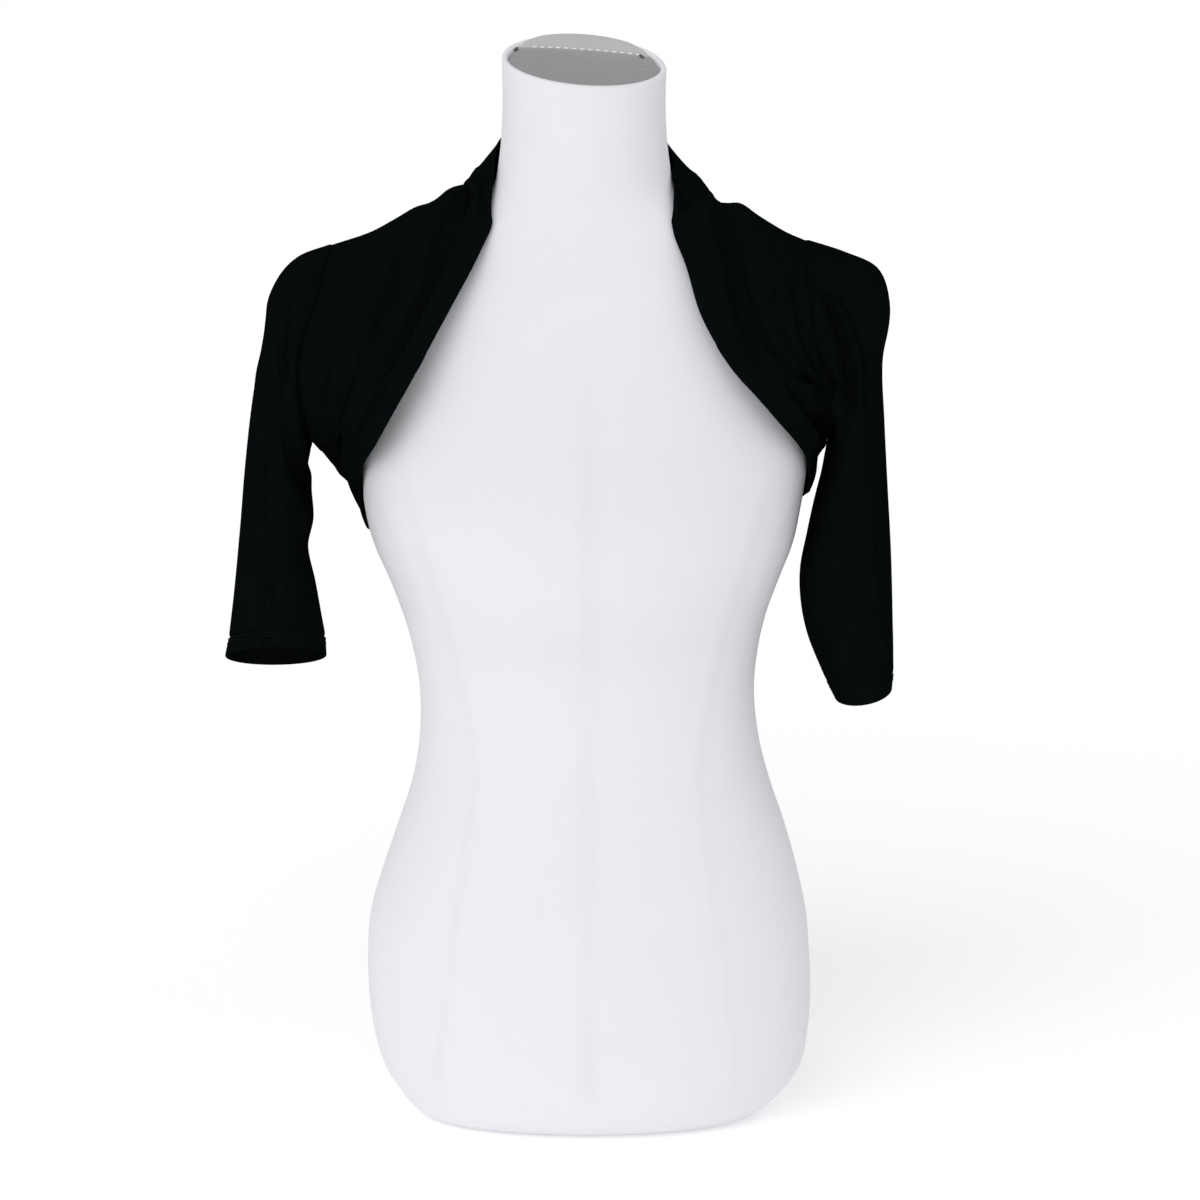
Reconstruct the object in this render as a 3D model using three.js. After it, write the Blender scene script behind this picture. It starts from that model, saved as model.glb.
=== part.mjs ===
// Knitted shrug with elbow sleeves, worn on a limbless dress form.
// Millimetres, +Z up. The form's front faces -Y and the wearer's right side is at -X.
//
// The cloth is one continuous skin laid out between named seam lines. The skin is cut into
// the maker's pieces, and each piece is a closed wall with a small gap to its neighbours.
import * as THREE from "three";

// ------------------------------------------------------------------ driving sizes
const CLOTH = 2; // thickness of the jersey wall
const SEAM_GAP = 0.3; // gap between two sewn pieces
const CLEARANCE = 3.8; // outer face of the cloth to the form, at the least
const BACK_HUG = 3; // how soon the back lies on the form, inwards from its seams
const FRONT_HUG = 1; // and how soon the fronts do
const BAND_ROLL = 1.5; // how far the middle of a band stands out of the line of its edges
const COLLAR_ROLL = 4; // and how far the middle of the collar does

const ROWS_ARMHOLE = 14; // quads down each half of an armhole
const COLS_SHOULDER = 6; // quads along each shoulder seam
const COLS_NECK = 14; // quads round the back of the neck
const COLS_BAND = 2; // quads across each band

const FORM_SEGMENTS = 36; // quads round the form
const RIM_HEIGHT = 743; // top of the neck on its axis
const RIM_SLOPE_BACK = 0.37; // the rim rises towards the back
const RIM_SLOPE_SIDE = -0.07; // and towards the wearer's right
const RIM_START = 690; // the neck starts to turn towards the rim's slope here
const RIM_WALL = 4; // width of the rim round the cap
const RECESS = 6; // depth of the hollow that holds the cap
const CAP_THICKNESS = 3.5;
const CAP_GAP = 0.4;

// Cross sections of the form from its flat base to its neck. shift moves a section
// sideways, because the form stands a little askew. power 2 is an ellipse.
const FORM_SECTIONS = [
  { z: 0, shift: 0, side: 113, front: 54, back: 62, power: 2.2 },
  { z: 4, shift: 1, side: 122, front: 64, back: 73, power: 2.2 },
  { z: 11, shift: 2, side: 130, front: 73, back: 84, power: 2.2 },
  { z: 22, shift: 3.5, side: 139, front: 81, back: 93, power: 2.2 },
  { z: 38, shift: 4, side: 149, front: 88, back: 102, power: 2.2 },
  { z: 60, shift: 3, side: 154.5, front: 93, back: 109, power: 2.2 },
  { z: 90, shift: 2, side: 157.5, front: 96, back: 114, power: 2.2 },
  { z: 122, shift: 1, side: 157, front: 97, back: 115, power: 2.2 },
  { z: 150, shift: 1, side: 154.5, front: 96, back: 112, power: 2.2 },
  { z: 180, shift: 2, side: 147, front: 93, back: 104, power: 2.2 },
  { z: 212, shift: 3, side: 137, front: 89, back: 93, power: 2.2 },
  { z: 245, shift: 2.8, side: 126, front: 84, back: 82, power: 2.2 },
  { z: 275, shift: 1.5, side: 119.5, front: 81, back: 74, power: 2.15 },
  { z: 308, shift: 0, side: 117.3, front: 82, back: 70, power: 2.15 },
  { z: 338, shift: -1, side: 120.5, front: 90, back: 72, power: 2.15 },
  { z: 365, shift: -1.8, side: 127, front: 103, back: 77, power: 2.15 },
  { z: 390, shift: -2, side: 136, front: 113, back: 83, power: 2.15 },
  { z: 415, shift: -2.6, side: 146, front: 116, back: 89, power: 2.15 },
  { z: 440, shift: -3, side: 151.5, front: 111, back: 94, power: 2.15 },
  { z: 465, shift: -2, side: 154.5, front: 100, back: 98, power: 2.15 },
  { z: 495, shift: -1, side: 157, front: 85, back: 101, power: 2.2 },
  { z: 530, shift: -1, side: 159, front: 71, back: 102, power: 2.2 },
  { z: 565, shift: -1, side: 159, front: 60, back: 99, power: 2.2 },
  { z: 590, shift: -1, side: 155, front: 53, back: 92, power: 2.2 },
  { z: 606, shift: -1, side: 145, front: 48, back: 85, power: 2.1 },
  { z: 618, shift: -1, side: 130, front: 45, back: 79, power: 2.0 },
  { z: 628, shift: -1, side: 110, front: 43, back: 73, power: 2.0 },
  { z: 637, shift: -1.5, side: 89, front: 42.5, back: 68, power: 2.0 },
  { z: 647, shift: -2, side: 72, front: 43, back: 63, power: 2.0 },
  { z: 660, shift: -2, side: 62, front: 45, back: 59, power: 2.0 },
  { z: 678, shift: -2, side: 58, front: 47, back: 55, power: 2.0 },
  { z: 700, shift: -2, side: 56, front: 48, back: 52, power: 2.0 },
  { z: 722, shift: -2, side: 55.5, front: 48, back: 51, power: 2.0 },
  { z: 743, shift: -2, side: 56, front: 48, back: 51, power: 2.0 },
];

// The opening's free edge and the seam of its band, from the shoulder seam to the side seam.
const FRONT_BAND = {
  right: [
    { edge: [-63, -34, 635], seam: [-82, -16, 661] },
    { edge: [-67.5, -42, 625], seam: [-89, -33, 628] },
    { edge: [-76, -54, 608], seam: [-97, -45, 611] },
    { edge: [-98, -70, 567], seam: [-117, -62, 572] },
    { edge: [-121, -80, 525], seam: [-138, -74, 533] },
    { edge: [-141, -72, 490], seam: [-156, -68, 500] },
    { edge: [-154, -36, 466], seam: [-169, -38, 479] },
    { edge: [-151, 8, 422], seam: [-168, 5, 457] },
  ],
  left: [
    { edge: [56, -34, 635], seam: [83, -16, 655] },
    { edge: [60, -43, 623], seam: [89, -34, 629] },
    { edge: [66, -54, 608], seam: [92, -46, 613] },
    { edge: [76, -68, 575], seam: [100, -60, 582] },
    { edge: [94, -78, 544], seam: [115, -72, 556] },
    { edge: [124, -80, 509], seam: [140, -74, 523] },
    { edge: [148, -48, 479], seam: [157, -46, 499] },
    { edge: [155, 5, 447], seam: [160.5, 5, 471] },
  ],
};

// The shoulder seam between the band's seam and the top of the armhole.
const SHOULDER = {
  right: [
    [-87, -13, 661.5], [-93, -10, 658.5], [-105, -7, 650], [-117, -6, 646], [-131, -4, 638],
    [-148, -2, 629],
  ],
  left: [
    [88, -13, 651.5], [98, -11, 650], [106, -8, 648], [116, -6, 641], [128, -4, 633.5],
    [138, -2, 628],
  ],
};

// The armhole: its top, its front and back curves, and the underarm point.
const ARMHOLE = {
  right: {
    top: [-175, 0, 620],
    front: [[-182, -36, 588], [-193, -48, 550], [-199, -44, 520], [-197, -24, 496]],
    underarm: [-190, 2, 484],
    back: [[-179, 40, 592], [-186, 56, 552], [-191, 50, 516], [-193, 28, 493]],
  },
  left: {
    top: [150, 0, 623],
    front: [[150, -36, 597], [154, -52, 556], [163, -50, 528], [170, -32, 502]],
    underarm: [167, 5, 484],
    back: [[152, 42, 595], [158, 60, 553], [165, 55, 520], [168, 32, 496]],
  },
};

// The standing collar round the back of the neck, from the wearer's right to left.
const COLLAR = [
  { edge: [-63.5, -16, 662], seam: [-80.5, -2, 665] },
  { edge: [-61.5, 8, 686], seam: [-77, 22, 671] },
  { edge: [-48, 42, 702], seam: [-64, 55, 667] },
  { edge: [-25, 57, 708], seam: [-34, 75, 663] },
  { edge: [0, 61, 709], seam: [0, 80, 661] },
  { edge: [25, 57, 707], seam: [33, 75, 662] },
  { edge: [46, 42, 699], seam: [62, 56, 664] },
  { edge: [57, 10, 682], seam: [76, 22, 667] },
  { edge: [57, -14, 662], seam: [81, -2, 659] },
];

// The hem band across the back, from the wearer's right to left.
const HEM = [
  { edge: [-144, 42, 412], seam: [-153, 48, 434] },
  { edge: [-112, 84, 405], seam: [-116, 92, 428] },
  { edge: [-52, 97, 405], seam: [-54, 102, 428] },
  { edge: [0, 100, 408], seam: [0, 105, 431] },
  { edge: [52, 97, 414], seam: [54, 103, 437] },
  { edge: [112, 84, 425], seam: [116, 92, 448] },
  { edge: [143, 42, 434], seam: [152, 48, 457] },
];

// Sleeve rings below the armhole. out and in are where the ring is widest, seen from the
// front, as [x, z]. front and back are its depths and tilt is its rise towards the back.
const SLEEVE = {
  right: [
    { out: [-200, 610], in: [-193, 474], front: 52, back: 56, tilt: 0 },
    { out: [-216, 590], in: [-195, 462], front: 52, back: 56, tilt: 0 },
    { out: [-223, 556], in: [-193, 446], front: 51, back: 54, tilt: 0 },
    { out: [-231, 514], in: [-191, 429], front: 49, back: 51, tilt: 0 },
    { out: [-237, 468], in: [-195, 409], front: 46, back: 48, tilt: -0.05 },
    { out: [-241.5, 424], in: [-190, 384], front: 43, back: 45, tilt: -0.12 },
    { out: [-246.5, 379], in: [-186, 361], front: 40, back: 41, tilt: -0.22 },
    { out: [-251, 345], in: [-183.5, 347], front: 38, back: 39, tilt: -0.3 },
  ],
  left: [
    { out: [178, 614], in: [167, 471], front: 54, back: 60, tilt: 0 },
    { out: [200, 603], in: [164.5, 461], front: 54, back: 59, tilt: 0 },
    { out: [208, 580], in: [161.5, 449], front: 53, back: 57, tilt: 0 },
    { out: [204, 538], in: [157, 433], front: 51, back: 54, tilt: 0 },
    { out: [206, 498], in: [153, 415], front: 49, back: 52, tilt: 0 },
    { out: [209, 452], in: [149, 394], front: 47, back: 49, tilt: 0 },
    { out: [212, 408], in: [149.5, 372], front: 45, back: 46, tilt: 0 },
    { out: [214, 362], in: [154.5, 348], front: 44, back: 45, tilt: 0 },
    { out: [215, 322], in: [168, 315], front: 44, back: 45, tilt: 0 },
  ],
};

// The free edge of each sleeve, at the foot of its cuff.
const CUFF = {
  right: { out: [-254, 331], in: [-183, 333], front: 38, back: 39, tilt: -0.34 },
  left: { out: [214, 310], in: [175, 301], front: 41, back: 42, tilt: 0 },
};

// The largest folds. A fold runs through [x, z] points, seen from the front or the back,
// is as wide as width on each side of its line, and stands out by height or sinks by it.
const FOLDS = [
  { face: "front", line: [[-118, 618], [-124, 580], [-134, 540]], width: 11, height: -3 },
  { face: "front", line: [[-140, 600], [-150, 560], [-168, 510]], width: 13, height: 3 },
  { face: "front", line: [[-168, 545], [-176, 515], [-174, 490]], width: 9, height: -3 },
  { face: "front", line: [[99, 632], [105, 590], [116, 545]], width: 10, height: -3.5 },
  { face: "front", line: [[118, 610], [128, 565], [148, 530]], width: 11, height: 3 },
  { face: "front", line: [[144, 600], [150, 560], [166, 525]], width: 9, height: -3 },
  { face: "front", line: [[162, 590], [176, 550], [182, 515]], width: 9, height: -4 },
  { face: "front", line: [[180, 600], [196, 540], [199, 470], [206, 360]], width: 9, height: -3 },
  { face: "front", line: [[-205, 560], [-212, 500], [-226, 430], [-229, 360]], width: 9, height: -3 },
  { face: "back", line: [[-95, 640], [-110, 590], [-128, 530]], width: 16, height: 4 },
  { face: "back", line: [[92, 640], [104, 595], [118, 540]], width: 16, height: 4 },
  { face: "back", line: [[-60, 560], [0, 540], [62, 565]], width: 18, height: 3 },
  { face: "back", line: [[-150, 560], [-166, 520], [-176, 490]], width: 12, height: -3 },
  { face: "back", line: [[140, 560], [154, 520], [162, 490]], width: 12, height: -3 },
];

// ------------------------------------------------------------------ materials
const jersey = new THREE.MeshStandardMaterial({ color: 0x111516, roughness: 0.92, metalness: 0 });
const formCover = new THREE.MeshStandardMaterial({ color: 0xf0f0f2, roughness: 0.8, metalness: 0 });
const capCloth = new THREE.MeshStandardMaterial({ color: 0xc2c0c0, roughness: 0.9, metalness: 0 });

// ------------------------------------------------------------------ small helpers
const vector = ([x, y, z]) => new THREE.Vector3(x, y, z);
const mix = (a, b, t) => a + (b - a) * t;
const smooth = (a, b, value) => THREE.MathUtils.smoothstep(value, a, b);

// n + 1 evenly spaced points on a smooth curve through the given ones.
function along(points, n) {
  return new THREE.CatmullRomCurve3(points, false, "centripetal").getSpacedPoints(n);
}

// Value of one column of the form's table at a height, on a smooth curve through its rows.
function formSize(name, z) {
  const last = FORM_SECTIONS.length - 1;
  const height = THREE.MathUtils.clamp(z, FORM_SECTIONS[0].z, FORM_SECTIONS[last].z);
  let row = 0;
  while (row < last - 1 && FORM_SECTIONS[row + 1].z < height) row += 1;
  const at = (i) => FORM_SECTIONS[THREE.MathUtils.clamp(i, 0, last)];
  const [before, low, high, after] = [at(row - 1), at(row), at(row + 1), at(row + 2)];
  const span = high.z - low.z;
  const t = (height - low.z) / span;
  const slopeLow = (high[name] - before[name]) / (high.z - before.z);
  const slopeHigh = (after[name] - low[name]) / (after.z - low.z);
  const cubic = (2 * t ** 3 - 3 * t ** 2 + 1) * low[name] + (3 * t ** 2 - 2 * t ** 3) * high[name];
  const bend = (t ** 3 - 2 * t ** 2 + t) * slopeLow + (t ** 3 - t ** 2) * slopeHigh;
  return cubic + bend * span;
}

// ------------------------------------------------------------------ dress form
// Point of the form's outline at a height. inset draws the outline in by that much.
function formPoint(z, angle, inset = 0) {
  const power = 2 / formSize("power", z);
  const [c, s] = [Math.cos(angle), Math.sin(angle)];
  const depth = formSize(s < 0 ? "front" : "back", z) - inset;
  const reach = Math.sign(c) * Math.abs(c) ** power * (formSize("side", z) - inset);
  const x = reach + formSize("shift", z);
  const y = Math.sign(s) * Math.abs(s) ** power * depth;
  const turn = smooth(RIM_START, RIM_HEIGHT, z);
  return new THREE.Vector3(x, y, z + turn * rimRise(x, y));
}

function rimRise(x, y) {
  return RIM_SLOPE_BACK * y + RIM_SLOPE_SIDE * x;
}

// 1 on the form's surface, less inside it and more outside it.
function formField(p) {
  const power = formSize("power", p.z);
  const across = Math.abs(p.x - formSize("shift", p.z)) / formSize("side", p.z);
  const deep = Math.abs(p.y) / formSize(p.y < 0 ? "front" : "back", p.z);
  return (across ** power + deep ** power) ** (1 / power);
}

// Distance of a point from the form's surface, and the way straight out of it.
function fromForm(p) {
  const step = 0.5;
  const out = new THREE.Vector3();
  for (const axis of ["x", "y", "z"]) {
    const ahead = p.clone();
    const behind = p.clone();
    ahead[axis] += step;
    behind[axis] -= step;
    out[axis] = (formField(ahead) - formField(behind)) / (2 * step);
  }
  const steepness = out.length();
  return { distance: (formField(p) - 1) / steepness, out: out.normalize() };
}

// The nearest place for a point of the cloth that keeps it clear of the form.
function clearOfForm(point, clearance = CLEARANCE) {
  const p = point.clone();
  for (let pass = 0; pass < 4; pass += 1) {
    const { distance, out } = fromForm(p);
    if (distance < clearance) p.addScaledVector(out, clearance - distance);
  }
  return p;
}

// Closed solid through rings of points that all have the same count, with flat ends.
function ringSolid(rings) {
  const count = rings[0].length;
  const points = rings.flat();
  const faces = [];
  for (let ring = 0; ring < rings.length - 1; ring += 1) {
    for (let i = 0; i < count; i += 1) {
      const next = (i + 1) % count;
      const [a, b] = [ring * count + i, ring * count + next];
      faces.push([a, b, b + count], [a, b + count, a + count]);
    }
  }
  const centre = (ring) => ring.reduce((sum, p) => sum.add(p), new THREE.Vector3()).divideScalar(count);
  const foot = points.push(centre(rings[0])) - 1;
  const head = points.push(centre(rings.at(-1))) - 1;
  const top = (rings.length - 1) * count;
  for (let i = 0; i < count; i += 1) {
    const next = (i + 1) % count;
    faces.push([foot, next, i], [head, top + i, top + next]);
  }
  return toGeometry(points, faces);
}

function toGeometry(points, faces) {
  const geometry = new THREE.BufferGeometry().setFromPoints(points);
  geometry.setIndex(faces.flat());
  geometry.computeVertexNormals();
  return geometry;
}

function formRing(z, inset = 0, drop = 0) {
  const ring = [];
  for (let i = 0; i < FORM_SEGMENTS; i += 1) {
    const p = formPoint(z, (2 * Math.PI * i) / FORM_SEGMENTS, inset);
    ring.push(p.setZ(p.z - drop));
  }
  return ring;
}

function makeForm() {
  const rings = FORM_SECTIONS.map(({ z }) => formRing(z));
  rings.push(formRing(RIM_HEIGHT, RIM_WALL), formRing(RIM_HEIGHT, RIM_WALL, RECESS));
  return ringSolid(rings);
}

function makeNeckCap() {
  const inset = RIM_WALL + CAP_GAP;
  const foot = formRing(RIM_HEIGHT, inset, RECESS - CAP_GAP);
  const head = formRing(RIM_HEIGHT, inset, RECESS - CAP_GAP - CAP_THICKNESS);
  return ringSolid([foot, head]);
}

// ------------------------------------------------------------------ seam lines
function frontLines(side) {
  const rows = FRONT_BAND[side];
  const hole = ARMHOLE[side];
  const [top, underarm] = [vector(hole.top), vector(hole.underarm)];
  const seamTop = vector(rows[0].seam);
  const seamFoot = vector(rows.at(-1).seam);
  return {
    edge: along(rows.map((row) => vector(row.edge)), ROWS_ARMHOLE),
    seam: along(rows.map((row) => vector(row.seam)), ROWS_ARMHOLE),
    shoulder: along([seamTop, ...SHOULDER[side].map(vector), top], COLS_SHOULDER),
    armholeFront: along([top, ...hole.front.map(vector), underarm], ROWS_ARMHOLE),
    armholeBack: along([top, ...hole.back.map(vector), underarm], ROWS_ARMHOLE),
    sideSeam: along([seamFoot, underarm], COLS_SHOULDER),
  };
}

// A line across the back that starts and ends where the front bands' lines do.
function backLine(rows, name, start, end, n) {
  return along([start, ...rows.map((row) => vector(row[name])), end], n);
}

// ------------------------------------------------------------------ the cloth's skin
// A grid of points filled in between four seam lines: top and bottom run the same way, and
// so do left and right.
function fillBetween(top, bottom, left, right) {
  const [cols, rows] = [top.length - 1, left.length - 1];
  const grid = [];
  for (let j = 0; j <= rows; j += 1) {
    const v = j / rows;
    const line = [];
    for (let i = 0; i <= cols; i += 1) {
      const u = i / cols;
      const point = new THREE.Vector3();
      point.addScaledVector(top[i], 1 - v).addScaledVector(bottom[i], v);
      point.addScaledVector(left[j], 1 - u).addScaledVector(right[j], u);
      point.addScaledVector(top[0], -(1 - u) * (1 - v)).addScaledVector(top[cols], -u * (1 - v));
      point.addScaledVector(bottom[0], -(1 - u) * v).addScaledVector(bottom[cols], -u * v);
      line.push(point);
    }
    grid.push(line);
  }
  return grid;
}

// Lays the inside of a filled grid near the form. Its borders stay where the seams hold
// them, and their stand off from the form dies away inwards, faster with a higher hug.
function settle(grid, hug) {
  const [rows, cols] = [grid.length - 1, grid[0].length - 1];
  const standOff = (p) => Math.max(0, fromForm(p).distance - CLEARANCE);
  return grid.map((line, j) => line.map((point, i) => {
    if (i === 0 || j === 0 || i === cols || j === rows) return point;
    const [u, v] = [i / cols, j / rows];
    const lift = Math.max(
      standOff(line[0]) * (1 - u) ** hug,
      standOff(line[cols]) * u ** hug,
      standOff(grid[0][i]) * (1 - v) ** hug,
      standOff(grid[rows][i]) * v ** hug,
    );
    const p = point.clone();
    for (let pass = 0; pass < 4; pass += 1) {
      const { distance, out } = fromForm(p);
      p.addScaledVector(out, Math.min(0, CLEARANCE + lift - distance));
    }
    return p;
  }));
}

// A band between two lines, as columns from the free edge to the seam, slightly rolled.
function bandBetween(edge, seam, middleRoll = () => BAND_ROLL) {
  return edge.map((start, row) => {
    const line = [];
    for (let i = 0; i <= COLS_BAND; i += 1) {
      const t = i / COLS_BAND;
      const point = start.clone().lerp(seam[row], t);
      const roll = middleRoll(row) * Math.sin(Math.PI * t);
      line.push(point.addScaledVector(fromForm(point).out, roll));
    }
    return line;
  });
}

// The collar rolls out more than the other bands, except at its ends, where it joins them.
function collarRoll(row) {
  const arch = Math.max(0, Math.sin((Math.PI * row) / COLS_NECK));
  return mix(BAND_ROLL, COLLAR_ROLL, Math.sqrt(arch));
}

// One ring of a sleeve, from its outer side by the front to its inner side and back round.
function sleeveRing({ out, in: inner, front, back, tilt }) {
  const ring = [];
  for (let i = 0; i < 2 * ROWS_ARMHOLE; i += 1) {
    const angle = (Math.PI * i) / ROWS_ARMHOLE;
    const share = (1 + Math.cos(angle)) / 2;
    const y = -Math.sin(angle) * (angle < Math.PI ? front : back);
    const z = mix(inner[1], out[1], share) + tilt * y;
    ring.push(new THREE.Vector3(mix(inner[0], out[0], share), y, z));
  }
  return ring;
}

function sleeveGrid(side, lines) {
  const armhole = [...lines.armholeFront, ...lines.armholeBack.slice(1, -1).reverse()];
  return [armhole, ...SLEEVE[side].map(sleeveRing)];
}

// Height of the folds at a point of the cloth.
function foldHeight(p) {
  const face = p.y < 0 ? "front" : "back";
  let height = 0;
  for (const fold of FOLDS.filter((one) => one.face === face)) {
    let nearest = Infinity;
    for (let i = 0; i < fold.line.length - 1; i += 1) {
      nearest = Math.min(nearest, distanceToSegment(p.x, p.z, fold.line[i], fold.line[i + 1]));
    }
    height += fold.height * Math.exp(-((nearest / fold.width) ** 2));
  }
  return height * smooth(0, 18, Math.abs(p.y));
}

function distanceToSegment(x, z, [ax, az], [bx, bz]) {
  const [dx, dz] = [bx - ax, bz - az];
  const t = THREE.MathUtils.clamp(((x - ax) * dx + (z - az) * dz) / (dx * dx + dz * dz), 0, 1);
  return Math.hypot(x - ax - t * dx, z - az - t * dz);
}

// Each sheet is a grid of points. closed says that its last column joins its first, and
// turned says that its rows and columns face the other way round.
function makeSheets() {
  const lines = { right: frontLines("right"), left: frontLines("left") };
  const { right, left } = lines;
  const rimPoints = (name) => backLine(COLLAR, name, right[name][0], left[name][0], COLS_NECK);
  const backCols = COLS_NECK + 2 * COLS_SHOULDER;
  const hemPoints = (name) => backLine(HEM, name, right[name].at(-1), left[name].at(-1), backCols);
  const collarSeam = rimPoints("seam");
  const backTop = [...right.shoulder.toReversed(), ...collarSeam.slice(1, -1), ...left.shoulder];
  const backSide = (side) => [...side.armholeBack, ...side.sideSeam.toReversed().slice(1)];

  const sheets = [
    {
      name: "back",
      grid: settle(fillBetween(backTop, hemPoints("seam"), backSide(right), backSide(left)), BACK_HUG),
      turned: true,
    },
    { name: "band_back_neck", grid: bandBetween(rimPoints("edge"), collarSeam, collarRoll) },
    { name: "band_back_hem", grid: bandBetween(hemPoints("edge"), hemPoints("seam")), turned: true },
  ];
  for (const side of ["right", "left"]) {
    const turned = side === "right";
    const { edge, seam, shoulder, armholeFront, sideSeam } = lines[side];
    const sleeve = sleeveGrid(side, lines[side]);
    const cuff = [sleeve.at(-1), sleeveRing(CUFF[side])];
    const front = settle(fillBetween(shoulder, sideSeam, seam, armholeFront), FRONT_HUG);
    sheets.push({ name: `front_${side}`, grid: front, turned });
    sheets.push({ name: `band_front_${side}`, grid: bandBetween(edge, seam), turned });
    sheets.push({ name: `sleeve_${side}`, grid: sleeve, closed: true, turned: !turned });
    sheets.push({ name: `cuff_${side}`, grid: cuff, closed: true, turned: !turned });
  }
  return sheets;
}

// Points that two sheets share have one key, so that the skin stays whole at its seams.
const keyOf = (p) => [p.x, p.y, p.z].map((value) => value.toFixed(3)).join(" ");

function quadsOf({ grid, closed, turned }) {
  const quads = [];
  const cols = closed ? grid[0].length : grid[0].length - 1;
  for (let j = 0; j < grid.length - 1; j += 1) {
    for (let i = 0; i < cols; i += 1) {
      const next = (i + 1) % grid[0].length;
      const quad = [[j, i], [j + 1, i], [j + 1, next], [j, next]];
      quads.push(turned ? quad.reverse() : quad);
    }
  }
  return quads;
}

// The way out of one sheet at each of its points.
function sheetNormals(sheet) {
  const normals = new Map();
  for (const quad of quadsOf(sheet)) {
    const corners = quad.map(([j, i]) => sheet.grid[j][i]);
    const diagonal = corners[2].clone().sub(corners[0]);
    const normal = diagonal.cross(corners[3].clone().sub(corners[1]));
    for (const corner of corners) {
      const key = keyOf(corner);
      if (!normals.has(key)) normals.set(key, new THREE.Vector3());
      normals.get(key).add(normal);
    }
  }
  return normals;
}

// The way out of the whole skin at each of its points. Every sheet at a seam counts alike,
// so that a sharp fold, as at the underarm, still points out along its ridge.
function skinNormals(sheets) {
  const normals = new Map();
  for (const sheet of sheets) {
    for (const [key, normal] of sheetNormals(sheet)) {
      if (!normals.has(key)) normals.set(key, new THREE.Vector3());
      normals.get(key).add(normal.normalize());
    }
  }
  for (const normal of normals.values()) normal.normalize();
  return normals;
}

// Every sheet with its points moved by the same rule, which may use the skin's normals.
function moveSheets(sheets, rule) {
  const normals = skinNormals(sheets);
  return sheets.map((sheet) => ({
    ...sheet,
    grid: sheet.grid.map((line) => line.map((p) => rule(p, normals.get(keyOf(p))))),
  }));
}

// ------------------------------------------------------------------ walls of cloth
// How far each point of a sheet is drawn in from its border: square to the border, by half
// a seam gap.
function drawnIn({ grid, closed }) {
  const [lastRow, lastCol] = [grid.length - 1, grid[0].length - 1];
  const at = (j, i) => {
    const col = closed ? (i + lastCol + 1) % (lastCol + 1) : THREE.MathUtils.clamp(i, 0, lastCol);
    return grid[THREE.MathUtils.clamp(j, 0, lastRow)][col];
  };
  const pull = (from, inwards, before, after) => {
    const line = after.clone().sub(before).normalize();
    const way = inwards.clone().sub(from);
    return way.addScaledVector(line, -way.dot(line)).setLength(SEAM_GAP / 2);
  };
  return grid.map((row, j) => row.map((p, i) => {
    const shift = new THREE.Vector3();
    if (j === 0) shift.add(pull(p, at(1, i), at(0, i - 1), at(0, i + 1)));
    if (j === lastRow) shift.add(pull(p, at(lastRow - 1, i), at(j, i - 1), at(j, i + 1)));
    if (!closed && i === 0) shift.add(pull(p, at(j, 1), at(j - 1, 0), at(j + 1, 0)));
    if (!closed && i === lastCol) shift.add(pull(p, at(j, i - 1), at(j - 1, i), at(j + 1, i)));
    return shift;
  }));
}

// The closed wall of one sheet: its outer face, its inner face and the walls of its borders.
function wallOf(sheet, normals) {
  const shifts = drawnIn(sheet);
  const cols = sheet.grid[0].length;
  const keys = sheet.grid.flat().map(keyOf);
  const outer = [];
  const inner = [];
  sheet.grid.forEach((line, j) => line.forEach((p, i) => {
    const face = p.clone().add(shifts[j][i]);
    outer.push(face);
    inner.push(face.clone().addScaledVector(normals.get(keyOf(p)), -CLOTH));
  }));
  const inside = outer.length;
  const faces = [];
  const borders = new Map();
  for (const quad of quadsOf(sheet)) {
    const [a, b, c, d] = quad.map(([j, i]) => j * cols + i);
    faces.push([a, b, c], [a, c, d]);
    faces.push([inside + a, inside + c, inside + b], [inside + a, inside + d, inside + c]);
    for (const [from, to] of [[a, b], [b, c], [c, d], [d, a]]) {
      if (!borders.delete(`${to} ${from}`)) borders.set(`${from} ${to}`, [from, to]);
    }
  }
  // Both sheets at a seam split its walls along the same diagonal, so that they stay apart.
  for (const [from, to] of borders.values()) {
    if (keys[from] < keys[to]) faces.push([from, inside + from, inside + to], [from, inside + to, to]);
    else faces.push([from, inside + from, to], [inside + from, inside + to, to]);
  }
  return toGeometry([...outer, ...inner], faces);
}

// ------------------------------------------------------------------ the whole object
function named(name, geometry, material) {
  const mesh = new THREE.Mesh(geometry, material);
  mesh.name = name;
  return mesh;
}

function makeShrug() {
  let sheets = makeSheets();
  sheets = moveSheets(sheets, (p) => clearOfForm(p));
  sheets = moveSheets(sheets, (p, normal) => p.clone().addScaledVector(normal, foldHeight(p)));
  sheets = moveSheets(sheets, (p) => clearOfForm(p));
  const normals = skinNormals(sheets);
  return sheets.map((sheet) => named(sheet.name, wallOf(sheet, normals), jersey));
}

const dressForm = new THREE.Group();
dressForm.add(named("form_torso", makeForm(), formCover), named("neck_cap", makeNeckCap(), capCloth));

const shrug = new THREE.Group();
shrug.add(...makeShrug());

const part = new THREE.Group();
part.add(dressForm, shrug);

export default part;
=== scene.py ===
"""Knitted shrug with elbow sleeves, worn on a limbless dress form.

The cloth is one skin laid out between named seam lines, then cut into the maker's pieces.
Tables are in millimetres, +Z up, the form's front faces -Y, the wearer's right is at -X.
"""
import functools
import math

import bmesh
import bpy
import numpy as np
from mathutils import Matrix, Vector


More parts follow.
